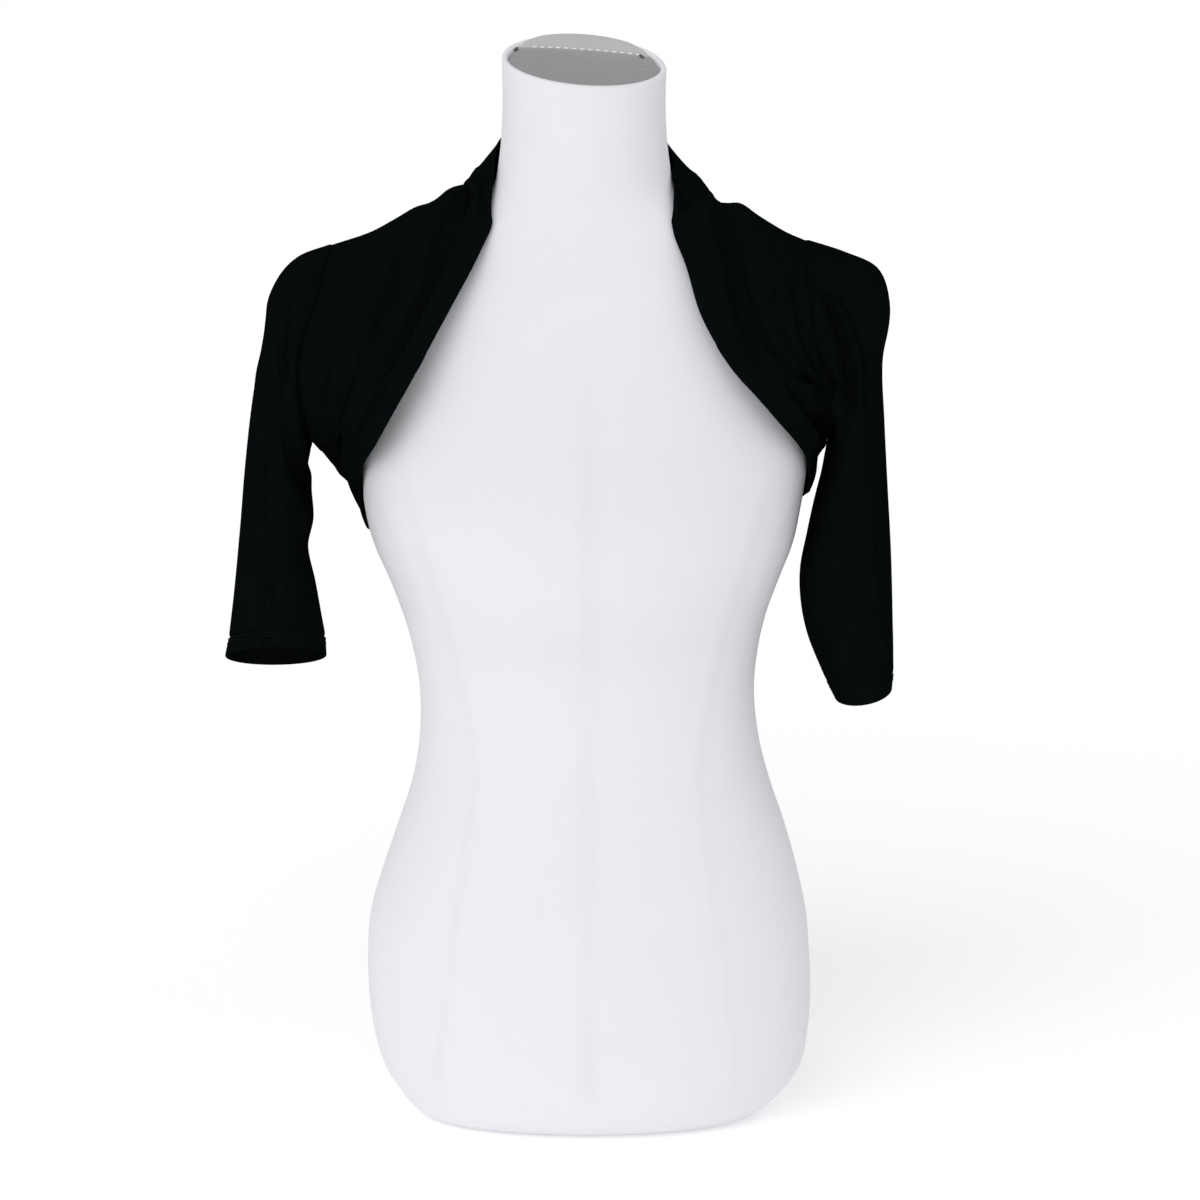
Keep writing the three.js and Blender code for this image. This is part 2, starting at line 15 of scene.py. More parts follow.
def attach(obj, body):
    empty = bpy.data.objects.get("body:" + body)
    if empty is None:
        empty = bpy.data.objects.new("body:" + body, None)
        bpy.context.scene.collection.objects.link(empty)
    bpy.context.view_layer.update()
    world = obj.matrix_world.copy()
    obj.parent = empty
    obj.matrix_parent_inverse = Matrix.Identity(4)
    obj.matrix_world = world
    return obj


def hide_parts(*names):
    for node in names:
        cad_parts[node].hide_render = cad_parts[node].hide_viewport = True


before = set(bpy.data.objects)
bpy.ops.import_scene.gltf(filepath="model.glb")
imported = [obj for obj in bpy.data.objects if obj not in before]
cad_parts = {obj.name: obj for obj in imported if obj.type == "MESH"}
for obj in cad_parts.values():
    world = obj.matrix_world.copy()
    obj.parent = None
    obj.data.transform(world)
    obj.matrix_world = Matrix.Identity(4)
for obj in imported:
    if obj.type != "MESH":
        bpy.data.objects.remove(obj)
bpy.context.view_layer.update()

bl_info = {
    "name": "Knitted shrug on a dress form",
    "version": (1, 0, 0),
    "blender": (4, 5, 0),
    "location": "3D View > Sidebar > Shrug",
    "description": "Builds an open knitted shrug on a limbless dress form, with its studio",
    "category": "Add Mesh",
}

# ------------------------------------------------------------------ sizes of the cloth
MM = 0.001
FINE = 8  # small squares along each square of the pattern
SEAM_CLEARANCE = 3.8  # outer face of the cloth to the form where it is laid out
FOLD_CLEARANCE = 2.0  # and at the bottom of its folds
FULLNESS = 3.4  # how far the cloth between two seams stands out of their line
FULLNESS_START = 14  # distance from a seam where it does so in full
BACK_HUG = 3  # how soon the back lies on the form, inwards from its seams
FRONT_HUG = 1  # and how soon the fronts do
BAND_ROLL = 1.5  # how far the middle of a band stands out of the line of its edges
COLLAR_ROLL = 4  # and how far the middle of the collar does
ROWS_ARMHOLE = 14 * FINE  # squares down each half of an armhole
COLS_SHOULDER = 6 * FINE
COLS_NECK = 14 * FINE
COLS_BAND = 8
ROWS_SLEEVE = 96
ROWS_CUFF = 6
CURVE_STEPS = 40
SEAM_DIP = 0.9  # depth of the groove at a seam
SEAM_SPREAD = 1.3  # and how far it reaches to each side
CLOSE_ROWS = (0.22, 0.55)  # rows added beside a border, in squares from it
RIDGE_OFFSET = 1.9  # place of the ridge beside a fold, in widths of the fold
RIDGE_WIDTH = 1.1  # and its own width
FOLD_FADE = 0.22  # share of a fold's length over which it fades at an end
FOLD_SIDE = 18  # depth from the side over which the folds of front and back fade

# Cross sections of the form: z, shift to the side, half width, front, back, power.
FORM_COLUMNS = {"z": 0, "shift": 1, "side": 2, "front": 3, "back": 4, "power": 5}
FORM_SECTIONS = np.array([
    (0, 0, 113, 54, 62, 2.2), (4, 1, 122, 64, 73, 2.2), (11, 2, 130, 73, 84, 2.2),
    (22, 3.5, 139, 81, 93, 2.2), (38, 4, 149, 88, 102, 2.2), (60, 3, 154.5, 93, 109, 2.2),
    (90, 2, 157.5, 96, 114, 2.2), (122, 1, 157, 97, 115, 2.2), (150, 1, 154.5, 96, 112, 2.2),
    (180, 2, 147, 93, 104, 2.2), (212, 3, 137, 89, 93, 2.2), (245, 2.8, 126, 84, 82, 2.2),
    (275, 1.5, 119.5, 81, 74, 2.15), (308, 0, 117.3, 82, 70, 2.15), (338, -1, 120.5, 90, 72, 2.15),
    (365, -1.8, 127, 103, 77, 2.15), (390, -2, 136, 113, 83, 2.15), (415, -2.6, 146, 116, 89, 2.15),
    (440, -3, 151.5, 111, 94, 2.15), (465, -2, 154.5, 100, 98, 2.15), (495, -1, 157, 85, 101, 2.2),
    (530, -1, 159, 71, 102, 2.2), (565, -1, 159, 60, 99, 2.2), (590, -1, 155, 53, 92, 2.2),
    (606, -1, 145, 48, 85, 2.1), (618, -1, 130, 45, 79, 2.0), (628, -1, 110, 43, 73, 2.0),
    (637, -1.5, 89, 42.5, 68, 2.0), (647, -2, 72, 43, 63, 2.0), (660, -2, 62, 45, 59, 2.0),
    (678, -2, 58, 47, 55, 2.0), (700, -2, 56, 48, 52, 2.0), (722, -2, 55.5, 48, 51, 2.0),
    (743, -2, 56, 48, 51, 2.0),
])
RIM_HEIGHT = 743
RIM_SLOPE_BACK = 0.37
RIM_SLOPE_SIDE = -0.07
RIM_START = 690
RIM_WALL = 4
RECESS = 6

# Free edge and seam of each front band, from the shoulder seam to the side seam.
FRONT_BAND = {
    "right": {
        "edge": [(-63, -34, 635), (-67.5, -42, 625), (-76, -54, 608), (-98, -70, 567),
                 (-121, -80, 525), (-141, -72, 490), (-154, -36, 466), (-151, 8, 422)],
        "seam": [(-82, -16, 661), (-89, -33, 628), (-97, -45, 611), (-117, -62, 572),
                 (-138, -74, 533), (-156, -68, 500), (-169, -38, 479), (-168, 5, 457)],
    },
    "left": {
        "edge": [(56, -34, 635), (60, -43, 623), (66, -54, 608), (76, -68, 575),
                 (94, -78, 544), (124, -80, 509), (148, -48, 479), (155, 5, 447)],
        "seam": [(83, -16, 655), (89, -34, 629), (92, -46, 613), (100, -60, 582),
                 (115, -72, 556), (140, -74, 523), (157, -46, 499), (160.5, 5, 471)],
    },
}
SHOULDER = {
    "right": [(-87, -13, 661.5), (-93, -10, 658.5), (-105, -7, 650), (-117, -6, 646),
              (-131, -4, 638), (-148, -2, 629)],
    "left": [(88, -13, 651.5), (98, -11, 650), (106, -8, 648), (116, -6, 641), (128, -4, 633.5),
             (138, -2, 628)],
}
ARMHOLE = {
    "right": {
        "top": (-175, 0, 620),
        "front": [(-182, -36, 588), (-193, -48, 550), (-199, -44, 520), (-197, -24, 496)],
        "underarm": (-190, 2, 484),
        "back": [(-179, 40, 592), (-186, 56, 552), (-191, 50, 516), (-193, 28, 493)],
    },
    "left": {
        "top": (150, 0, 623),
        "front": [(150, -36, 597), (154, -52, 556), (163, -50, 528), (170, -32, 502)],
        "underarm": (167, 5, 484),
        "back": [(152, 42, 595), (158, 60, 553), (165, 55, 520), (168, 32, 496)],
    },
}
COLLAR = {
    "edge": [(-63.5, -16, 662), (-61.5, 8, 686), (-48, 42, 702), (-25, 57, 708), (0, 61, 709),
             (25, 57, 707), (46, 42, 699), (57, 10, 682), (57, -14, 662)],
    "seam": [(-80.5, -2, 665), (-77, 22, 671), (-64, 55, 667), (-34, 75, 663), (0, 80, 661),
             (33, 75, 662), (62, 56, 664), (76, 22, 667), (81, -2, 659)],
}
HEM = {
    "edge": [(-144, 42, 412), (-112, 84, 405), (-52, 97, 405), (0, 100, 408), (52, 97, 414),
             (112, 84, 425), (143, 42, 434)],
    "seam": [(-153, 48, 434), (-116, 92, 428), (-54, 102, 428), (0, 105, 431), (54, 103, 437),
             (116, 92, 448), (152, 48, 457)],
}
# Sleeve rings below the armhole: widest points out and in as x and z, depths, and tilt.
SLEEVE = {
    "right": [
        ((-200, 610), (-193, 474), 52, 56, 0), ((-216, 590), (-195, 462), 52, 56, 0),
        ((-223, 556), (-193, 446), 51, 54, 0), ((-231, 514), (-191, 429), 49, 51, 0),
        ((-237, 468), (-195, 409), 46, 48, -0.05), ((-241.5, 424), (-190, 384), 43, 45, -0.12),
        ((-246.5, 379), (-186, 361), 40, 41, -0.22), ((-251, 345), (-183.5, 347), 38, 39, -0.3),
    ],
    "left": [
        ((178, 614), (167, 471), 54, 60, 0), ((200, 603), (164.5, 461), 54, 59, 0),
        ((208, 580), (161.5, 449), 53, 57, 0), ((204, 538), (157, 433), 51, 54, 0),
        ((206, 498), (153, 415), 49, 52, 0), ((209, 452), (149, 394), 47, 49, 0),
        ((212, 408), (149.5, 372), 45, 46, 0), ((214, 362), (154.5, 348), 44, 45, 0),
        ((215, 322), (168, 315), 44, 45, 0),
    ],
}
CUFF = {
    "right": ((-254, 331), (-183, 333), 38, 39, -0.34),
    "left": ((214, 310), (175, 301), 41, 42, 0),
}

# Each fold: the x, z points it runs through, its reach to each side, how far it stands out
# or sinks, the height of the roll beside it, the side of that roll, and the ends that die away.
FRONT_FOLDS = [
    # the largest folds
    ([(-118, 618), (-124, 580), (-134, 540)], 11, -3, 0, 1, ""),
    ([(-140, 600), (-150, 560), (-168, 510)], 13, 3, 0, 1, ""),
    ([(-168, 545), (-176, 515), (-174, 490)], 9, -3, 0, 1, ""),
    ([(99, 632), (105, 590), (116, 545)], 10, -3.5, 0, 1, ""),
    ([(118, 610), (128, 565), (148, 530)], 11, 3, 0, 1, ""),
    ([(144, 600), (150, 560), (166, 525)], 9, -3, 0, 1, ""),
    ([(162, 590), (176, 550), (182, 515)], 9, -4, 0, 1, ""),
    ([(180, 600), (196, 540), (199, 470), (206, 360)], 9, -3, 0, 1, ""),
    ([(-205, 560), (-212, 500), (-226, 430), (-229, 360)], 9, -3, 0, 1, ""),
    # right front: valley at the band's seam, and the creases that run into the side
    ([(-81, 652), (-86, 636), (-95, 618), (-105, 596), (-117, 572), (-130, 548), (-143, 522)],
     4.2, -4.6, 3.0, 1, "end"),
    ([(-106, 554), (-122, 539), (-132, 529), (-142, 515), (-152, 499), (-160, 480)],
     2.3, -2.9, 1.6, -1, "both"),
    ([(-123, 622), (-128, 598), (-134, 576), (-142, 552)], 6, -3.6, 1.2, 1, "both"),
    ([(-84, 656), (-93, 640), (-100, 626), (-108, 606)], 5.5, -4.4, 3.0, 1, "end"),
    ([(-94, 652), (-106, 632), (-114, 614)], 5.0, 2.6, 0, 1, "end"),
    ([(-104, 648), (-116, 636), (-126, 622)], 5.0, -2.6, 0, 1, "both"),
    ([(-146, 520), (-158, 503), (-164, 490)], 1.9, -1.9, 1, 1, "both"),
    ([(-152, 536), (-163, 512), (-170, 494)], 2.1, -1.8, 0.8, 1, "both"),
    ([(-161, 561), (-163, 530), (-170, 508)], 2.8, -2.1, 1, 1, "both"),
    ([(-172, 545), (-174, 522), (-178, 504)], 2.3, -1.8, 0.8, 1, "both"),
    ([(-138, 545), (-150, 522), (-160, 506)], 2.1, -1.6, 0.6, 1, "both"),
    # right sleeve: fine arcs of the head, a drag line and the pressed crease
    ([(-190, 610), (-199, 586), (-204, 562), (-204, 544), (-199, 520)], 1.9, -2.2, 1.3, -1, "both"),
    ([(-196, 608), (-206, 582), (-211, 560), (-210, 540), (-205, 518)], 1.9, -2.1, 1.1, -1, "both"),
    ([(-203, 603), (-212, 578), (-217, 554), (-216, 534), (-210, 510)], 2.1, -1.9, 1, -1, "both"),
    ([(-210, 596), (-218, 572), (-223, 546), (-222, 524), (-217, 500)], 2.1, -1.6, 0.8, -1, "both"),
    ([(-207, 532), (-206, 505), (-200, 475), (-193, 456)], 3.8, -3.8, 1.9, 1, "start"),
    ([(-218, 509), (-220, 440), (-222, 347)], 1.5, -1.4, 1.3, 1, "start"),
    ([(-213, 430), (-214, 370)], 5.7, -2.9, 0, 1, "both"),
    # left front
    ([(93, 646), (98, 625), (102, 605), (105, 585), (109, 565), (114, 549), (122, 533)],
     6.5, -4.6, 2.0, -1, "end"),
    ([(107, 579), (119, 562), (130, 544), (140, 534), (152, 529), (163, 524), (172, 516)],
     2.6, -4.6, 2.4, -1, "start"),
    ([(130, 540), (137, 525), (146, 513), (156, 502), (162, 491)], 3.0, -4.8, 2.4, -1, "start"),
    ([(140, 602), (142, 582), (145, 561), (151, 548), (160, 536), (169, 525)],
     3.4, -2.9, 1.3, 1, "start"),
    ([(87, 561), (99, 544), (110, 526)], 3.4, -2.4, 1.3, -1, "both"),
    ([(102, 631), (110, 612), (116, 593)], 4.3, -2.2, 0, 1, "both"),
    ([(150, 545), (160, 531), (170, 521)], 1.9, -1.6, 0.8, 1, "both"),
    # left sleeve
    ([(155, 602), (163, 583), (170, 564), (174, 547), (176, 530), (175, 514)],
     4.2, -6.4, 3.4, -1, "start"),
    ([(160, 612), (170, 591), (180, 569), (187, 551), (190, 530), (192, 510), (193, 470)],
     2.8, -4.2, 2.6, -1, "both"),
    ([(194, 480), (196, 430), (198, 394), (201, 370), (206, 335)], 2.5, 2.2, 0, 1, "start"),
    ([(201, 440), (204, 400), (208, 350)], 4.8, -2.9, 0, 1, "both"),
    ([(172, 470), (168, 440), (160, 418)], 5.7, -2.6, 1, 1, "both"),
    # collar ends and pleats above the bands
    ([(-70, 668), (-72, 655), (-71, 642)], 2.6, -3.4, 1.6, 1, "start"),
    ([(59, 676), (63, 662), (66, 646)], 2.6, -3.4, 1.6, -1, "start"),
    ([(68, 668), (75, 656), (82, 644)], 2.6, -3.4, 1.8, -1, "both"),
]
BACK_FOLDS = [
    # the largest folds
    ([(-95, 640), (-110, 590), (-128, 530)], 16, 4, 0, 1, ""),
    ([(92, 640), (104, 595), (118, 540)], 16, 4, 0, 1, ""),
    ([(-60, 560), (0, 540), (62, 565)], 18, 3, 0, 1, ""),
    ([(-150, 560), (-166, 520), (-176, 490)], 12, -3, 0, 1, ""),
    ([(140, 560), (154, 520), (162, 490)], 12, -3, 0, 1, ""),
    # drag lines from the armholes, the collar and the hem
    ([(-170, 590), (-155, 560), (-148, 520)], 3, -3.2, 1.6, 1, "both"),
    ([(-182, 560), (-168, 530), (-162, 490)], 2.8, -3.5, 1.9, 1, "end"),
    ([(-186, 530), (-172, 505), (-164, 470)], 2.5, -2.9, 1.6, 1, "both"),
    ([(-140, 600), (-128, 560), (-126, 510), (-130, 470)], 4.3, -2.9, 1.4, -1, "both"),
    ([(-70, 655), (-80, 625), (-84, 590)], 3.2, -3.2, 1.6, 1, "end"),
    ([(-40, 655), (-46, 620), (-44, 588)], 3.8, -2.6, 1.3, -1, "end"),
    ([(12, 652), (16, 618), (8, 586)], 4.2, -2.2, 1.1, 1, "end"),
    ([(48, 656), (58, 622), (60, 592)], 3.4, -2.9, 1.4, -1, "end"),
    ([(78, 654), (92, 628), (98, 600)], 3, -3.2, 1.6, -1, "end"),
    ([(-120, 505), (-60, 488), (5, 492), (66, 500), (110, 520)], 6.6, -3.2, 1.6, 1, "both"),
    ([(-100, 470), (-40, 458), (30, 462), (88, 478)], 4.8, -2.4, 1.3, -1, "both"),
    ([(148, 590), (140, 560), (136, 520)], 3, -3.2, 1.6, -1, "both"),
    ([(158, 556), (148, 528), (144, 490)], 2.8, -3.5, 1.8, -1, "end"),
    ([(162, 525), (152, 500), (148, 470)], 2.5, -2.9, 1.6, -1, "both"),
    ([(116, 600), (110, 560), (116, 515)], 4.3, -2.6, 1.3, 1, "both"),
    # sleeves
    ([(-192, 606), (-203, 575), (-207, 545), (-202, 515)], 2.3, -2.6, 1.3, -1, "both"),
    ([(-202, 598), (-214, 565), (-217, 530), (-211, 498)], 2.5, -2.2, 1.1, -1, "both"),
    ([(-204, 520), (-214, 470), (-218, 420), (-224, 360)], 4.8, -3.2, 1.6, 1, "both"),
    ([(-198, 470), (-206, 440), (-220, 420)], 3, -2.6, 1.3, 1, "both"),
    ([(160, 606), (172, 575), (179, 545), (178, 512)], 2.7, -3.5, 1.9, -1, "both"),
    ([(172, 606), (186, 572), (193, 530), (192, 490)], 2.3, -2.6, 1.3, -1, "both"),
    ([(188, 500), (190, 450), (198, 400), (203, 340)], 4.4, -3.2, 1.6, -1, "both"),
    ([(160, 430), (172, 414), (192, 404)], 3.2, -2.6, 1.3, 1, "both"),
]


# ------------------------------------------------------------------ settings
class ShrugSettings(bpy.types.PropertyGroup):
    jersey_colour: bpy.props.FloatVectorProperty(
        name="Jersey colour", description="Colour of the knitted cloth", subtype="COLOR",
        size=3, min=0, max=1, default=(0.0040, 0.0057, 0.0062))
    wall: bpy.props.FloatProperty(
        name="Cloth", description="Thickness of one layer of cloth",
        unit="LENGTH", default=0.0011, min=0.0005, max=0.0018)
    hem_wall: bpy.props.FloatProperty(
        name="Hem", description="Thickness of a doubled band or turned hem",
        unit="LENGTH", default=0.0018, min=0.001, max=0.002)
    wale: bpy.props.FloatProperty(
        name="Wale", description="Width of one column of stitches",
        unit="LENGTH", default=0.0007, min=0.0003, max=0.002)
    stitch: bpy.props.FloatProperty(
        name="Hem stitch", description="Length of one stitch of the sleeve hems",
        unit="LENGTH", default=0.0026, min=0.0015, max=0.005)


class FormSettings(bpy.types.PropertyGroup):
    cover_colour: bpy.props.FloatVectorProperty(
        name="Cover colour", description="Colour of the form's stretched cover",
        subtype="COLOR", size=3, min=0, max=1, default=(0.80, 0.805, 0.84))
    # The neck cap's grey is painted shade: the darkening of the hollow at the neck's top, put into
    # the cloth's colour.
    cap_shaded_colour: bpy.props.FloatVectorProperty(
        name="Cap colour", description="Colour of the cloth that closes the neck",
        subtype="COLOR", size=3, min=0, max=1, default=(0.325, 0.325, 0.33))
    seam_tone: bpy.props.FloatProperty(
        name="Seam tone", description="How dark the lines of the padding show through",
        subtype="FACTOR", min=0, max=1, default=0.035)


class StudioSettings(bpy.types.PropertyGroup):
    floor_colour: bpy.props.FloatVectorProperty(
        name="Floor colour", description="Colour of the studio floor", subtype="COLOR",
        size=3, min=0, max=1, default=(0.95, 0.95, 0.95))
    sky: bpy.props.FloatProperty(
        name="Sky", description="Strength of the even light all round", min=0, max=3, default=0.60)
    key: bpy.props.FloatProperty(
        name="Key", description="Strength of the soft light from the front", min=0, max=10,
        default=1.05)
    floor_glow: bpy.props.FloatProperty(
        name="Floor glow", description="Light given back by the white floor", min=0, max=1,
        default=0.26)
    camera_distance: bpy.props.FloatProperty(
        name="Camera distance", description="Camera in front of the form's middle",
        unit="LENGTH", default=2.0, min=0.5, max=10)


# ------------------------------------------------------------------ curves and the form
def along(points, n):
    """n + 1 evenly spaced points on a smooth curve through the given ones."""
    p = np.array(points, float)
    p = np.vstack([2 * p[0] - p[1], p, 2 * p[-1] - p[-2]])
    t = np.linspace(0, 1, CURVE_STEPS + 1)[:-1, None]
    spans = []
    for a, b, c, d in zip(p, p[1:], p[2:], p[3:]):
        before, here, after = (np.linalg.norm(q) ** 0.5 for q in (b - a, c - b, d - c))
        leave = ((b - a) / before - (c - a) / (before + here) + (c - b) / here) * here
        reach = ((c - b) / here - (d - b) / (here + after) + (d - c) / after) * here
        spans.append((2 * t**3 - 3 * t**2 + 1) * b + (t**3 - 2 * t**2 + t) * leave
                     + (3 * t**2 - 2 * t**3) * c + (t**3 - t**2) * reach)
    curve = np.vstack([*spans, p[-2:-1]])
    return evenly(curve, n)


def evenly(curve, n):
    """n + 1 points at even steps along a line of points."""
    length = np.concatenate([[0], np.cumsum(np.linalg.norm(np.diff(curve, axis=0), axis=1))])
    at = np.linspace(0, length[-1], n + 1)
    return np.stack([np.interp(at, length, curve[:, k]) for k in range(3)], 1)


def form_size(name, z):
    """One column of the form's sections at heights z, on a smooth curve through its rows."""
    rows, values = FORM_SECTIONS[:, 0], FORM_SECTIONS[:, FORM_COLUMNS[name]]
    last = len(rows) - 1
    z = np.clip(z, rows[0], rows[last])
    low = np.clip(np.searchsorted(rows, z) - 1, 0, last - 1)
    high, before, after = low + 1, np.maximum(low - 1, 0), np.minimum(low + 2, last)
    span = rows[high] - rows[low]
    t = (z - rows[low]) / span
    rise_low = (values[high] - values[before]) / (rows[high] - rows[before])
    rise_high = (values[after] - values[low]) / (rows[after] - rows[low])
    cubic = (2 * t**3 - 3 * t**2 + 1) * values[low] + (3 * t**2 - 2 * t**3) * values[high]
    bend = (t**3 - 2 * t**2 + t) * rise_low + (t**3 - t**2) * rise_high
    return cubic + bend * span


def smooth(a, b, value):
    t = np.clip((value - a) / (b - a), 0, 1)
    return t * t * (3 - 2 * t)


def form_ring(z, angles, inset=0.0, drop=0.0):
    """Points round the form at a height."""
    power = 2 / form_size("power", z)
    c, s = np.cos(angles), np.sin(angles)
    side = form_size("side", z) - inset
    depth = np.where(s < 0, form_size("front", z), form_size("back", z)) - inset
    x = np.sign(c) * np.abs(c) ** power * side + form_size("shift", z)
    y = np.sign(s) * np.abs(s) ** power * depth
    rise = smooth(RIM_START, RIM_HEIGHT, z) * (RIM_SLOPE_BACK * y + RIM_SLOPE_SIDE * x)
    return np.stack([x, y, z + rise - drop], -1)


def form_field(p):
    """1 on the form's surface, less inside it and more outside it."""
    x, y, z = p[..., 0], p[..., 1], p[..., 2]
    power = form_size("power", z)
    across = np.abs(x - form_size("shift", z)) / form_size("side", z)
    depth = np.where(y < 0, form_size("front", z), form_size("back", z))
    return (across**power + (np.abs(y) / depth) ** power) ** (1 / power)


def from_form(p):
    """Distance of points from the form's surface, and the way straight out of it."""
    step = 0.5
    out = np.empty_like(p)
    for axis in range(3):
        shift = np.zeros(3)
        shift[axis] = step
        out[..., axis] = (form_field(p + shift) - form_field(p - shift)) / (2 * step)
    steepness = np.linalg.norm(out, axis=-1, keepdims=True)
    return (form_field(p) - 1) / steepness[..., 0], out / steepness


def clear_of_form(p, clearance):
    """The nearest places for points of the cloth that keep it clear of the form."""
    for _ in range(4):
        distance, out = from_form(p)
        p = p + out * np.maximum(0, clearance - distance)[..., None]
    return p


# ------------------------------------------------------------------ the cloth's skin
def front_lines(side):
    hole, band = ARMHOLE[side], FRONT_BAND[side]
    top, underarm = hole["top"], hole["underarm"]
    return {
        "edge": along(band["edge"], ROWS_ARMHOLE),
        "seam": along(band["seam"], ROWS_ARMHOLE),
        "shoulder": along([band["seam"][0], *SHOULDER[side], top], COLS_SHOULDER),
        "armhole_front": along([top, *hole["front"], underarm], ROWS_ARMHOLE),
        "armhole_back": along([top, *hole["back"], underarm], ROWS_ARMHOLE),
        "side_seam": along([band["seam"][-1], underarm], COLS_SHOULDER),
    }


def fill_between(top, bottom, left, right):
    """A grid of points between four seam lines."""
    v = np.linspace(0, 1, len(left))[:, None, None]
    u = np.linspace(0, 1, len(top))[None, :, None]
    across = top[None] * (1 - v) + bottom[None] * v
    down = left[:, None] * (1 - u) + right[:, None] * u
    corners = (top[0] * (1 - u) * (1 - v) + top[-1] * u * (1 - v)
               + bottom[0] * (1 - u) * v + bottom[-1] * u * v)
    return across + down - corners


def settle(grid, hug):
    """Lays the inside of a filled grid near the form, and leaves its borders alone."""
    stand_off = np.maximum(0, from_form(grid)[0] - SEAM_CLEARANCE)
    v = np.linspace(0, 1, grid.shape[0])[:, None]
    u = np.linspace(0, 1, grid.shape[1])[None, :]
    lift = np.maximum.reduce([
        stand_off[:, :1] * (1 - u) ** hug, stand_off[:, -1:] * u**hug,
        stand_off[:1, :] * (1 - v) ** hug, stand_off[-1:, :] * v**hug,
    ])
    p = grid
    for _ in range(4):
        distance, out = from_form(p)
        p = p + out * np.minimum(0, SEAM_CLEARANCE + lift - distance)[..., None]
    p[0], p[-1], p[:, 0], p[:, -1] = grid[0], grid[-1], grid[:, 0], grid[:, -1]
    return p


def band_between(edge, seam, roll):
    """A band as columns from its free edge to its seam, slightly rolled."""
    t = np.linspace(0, 1, COLS_BAND + 1)[None, :, None]
    p = edge[:, None] * (1 - t) + seam[:, None] * t
    return p + from_form(p)[1] * roll[:, None, None] * np.sin(np.pi * t)


def sleeve_ring(ring):
    (out_x, out_z), (in_x, in_z), front, back, tilt = ring
    angle = np.arange(2 * ROWS_ARMHOLE) * np.pi / ROWS_ARMHOLE
    share = (1 + np.cos(angle)) / 2
    y = -np.sin(angle) * np.where(angle < np.pi, front, back)
    return np.stack([in_x + (out_x - in_x) * share, y, in_z + (out_z - in_z) * share + tilt * y], 1)


def sleeve_grid(side, lines):
    hole = np.vstack([lines["armhole_front"], lines["armhole_back"][-2:0:-1]])
    rings = [hole, *(sleeve_ring(ring) for ring in SLEEVE[side])]
    return np.stack([along([ring[i] for ring in rings], ROWS_SLEEVE)
                     for i in range(len(hole))], 1)


@functools.cache
def laid_out():
    """Each sheet's grid of points between its seam lines, and how its squares face."""
    lines = {side: front_lines(side) for side in ("right", "left")}
    right, left = lines["right"], lines["left"]

    def rim(name):
        return along([right[name][0], *COLLAR[name], left[name][0]], COLS_NECK)

    def hem(name):
        points = [right[name][-1], *HEM[name], left[name][-1]]
        return along(points, COLS_NECK + 2 * COLS_SHOULDER)

    collar_seam = rim("seam")
    back_top = np.vstack([right["shoulder"][::-1], collar_seam[1:-1], left["shoulder"]])
    back_sides = [np.vstack([side["armhole_back"], side["side_seam"][-2::-1]])
                  for side in (right, left)]
    around_neck = np.sin(np.linspace(0, np.pi, COLS_NECK + 1)).clip(0) ** 0.5
    even_roll = np.full(COLS_NECK + 2 * COLS_SHOULDER + 1, BAND_ROLL)
    sheets = {
        "back": (settle(fill_between(back_top, hem("seam"), *back_sides), BACK_HUG), True, False),
        "band_back_neck": (band_between(
            rim("edge"), collar_seam, BAND_ROLL + (COLLAR_ROLL - BAND_ROLL) * around_neck),
            False, False),
        "band_back_hem": (band_between(hem("edge"), hem("seam"), even_roll), True, False),
    }
    for side, line in lines.items():
        turned = side == "right"
        sleeve = sleeve_grid(side, line)
        foot = sleeve_ring(CUFF[side])
        share = np.linspace(0, 1, ROWS_CUFF + 1)[:, None, None]
        front = fill_between(line["shoulder"], line["side_seam"], line["seam"],
                             line["armhole_front"])
        roll = np.full(ROWS_ARMHOLE + 1, BAND_ROLL)
        sheets[f"front_{side}"] = (settle(front, FRONT_HUG), turned, False)
        band = band_between(line["edge"], line["seam"], roll)
        sheets[f"band_front_{side}"] = (band, turned, False)
        sheets[f"sleeve_{side}"] = (sleeve, not turned, True)
        sheets[f"cuff_{side}"] = (sleeve[-1] * (1 - share) + foot * share, not turned, True)
    return sheets


def sheet_normals(grid, turned, closed):
    """Unit ways out of one sheet at each of its points."""
    if closed:
        grid = np.concatenate([grid, grid[:, :1]], 1)
    one, two = grid[1:, 1:] - grid[:-1, :-1], grid[:-1, 1:] - grid[1:, :-1]
    faces = np.cross(one, two) * (-1 if turned else 1)
    total = np.zeros_like(grid)
    for j in (slice(None, -1), slice(1, None)):
        for i in (slice(None, -1), slice(1, None)):
            total[j, i] += faces
    if closed:
        total[:, 0] += total[:, -1]
        total = total[:, :-1]
    return total / np.maximum(np.linalg.norm(total, axis=-1, keepdims=True), 1e-9)


def border_of(closed, shape):
    mask = np.zeros(shape, bool)
    mask[0] = mask[-1] = True
    if not closed:
        mask[:, 0] = mask[:, -1] = True
    return np.argwhere(mask)


def skin_normals(sheets):
    """Ways out of the whole skin, the same for all the sheets that meet at a point."""
    normals = {name: sheet_normals(*sheet) for name, sheet in sheets.items()}
    shared = {}
    for name, (grid, _, closed) in sheets.items():
        for j, i in border_of(closed, grid.shape[:2]):
            key = tuple(np.round(grid[j, i], 3))
            shared.setdefault(key, []).append((name, j, i))
    for places in shared.values():
        total = sum(normals[name][j, i] for name, j, i in places)
        total = total / max(np.linalg.norm(total), 1e-9)
        for name, j, i in places:
            normals[name][j, i] = total
    return normals


def moved(sheets, rule):
    normals = skin_normals(sheets)
    return {name: (rule(grid, normals[name]), turned, closed)
            for name, (grid, turned, closed) in sheets.items()}


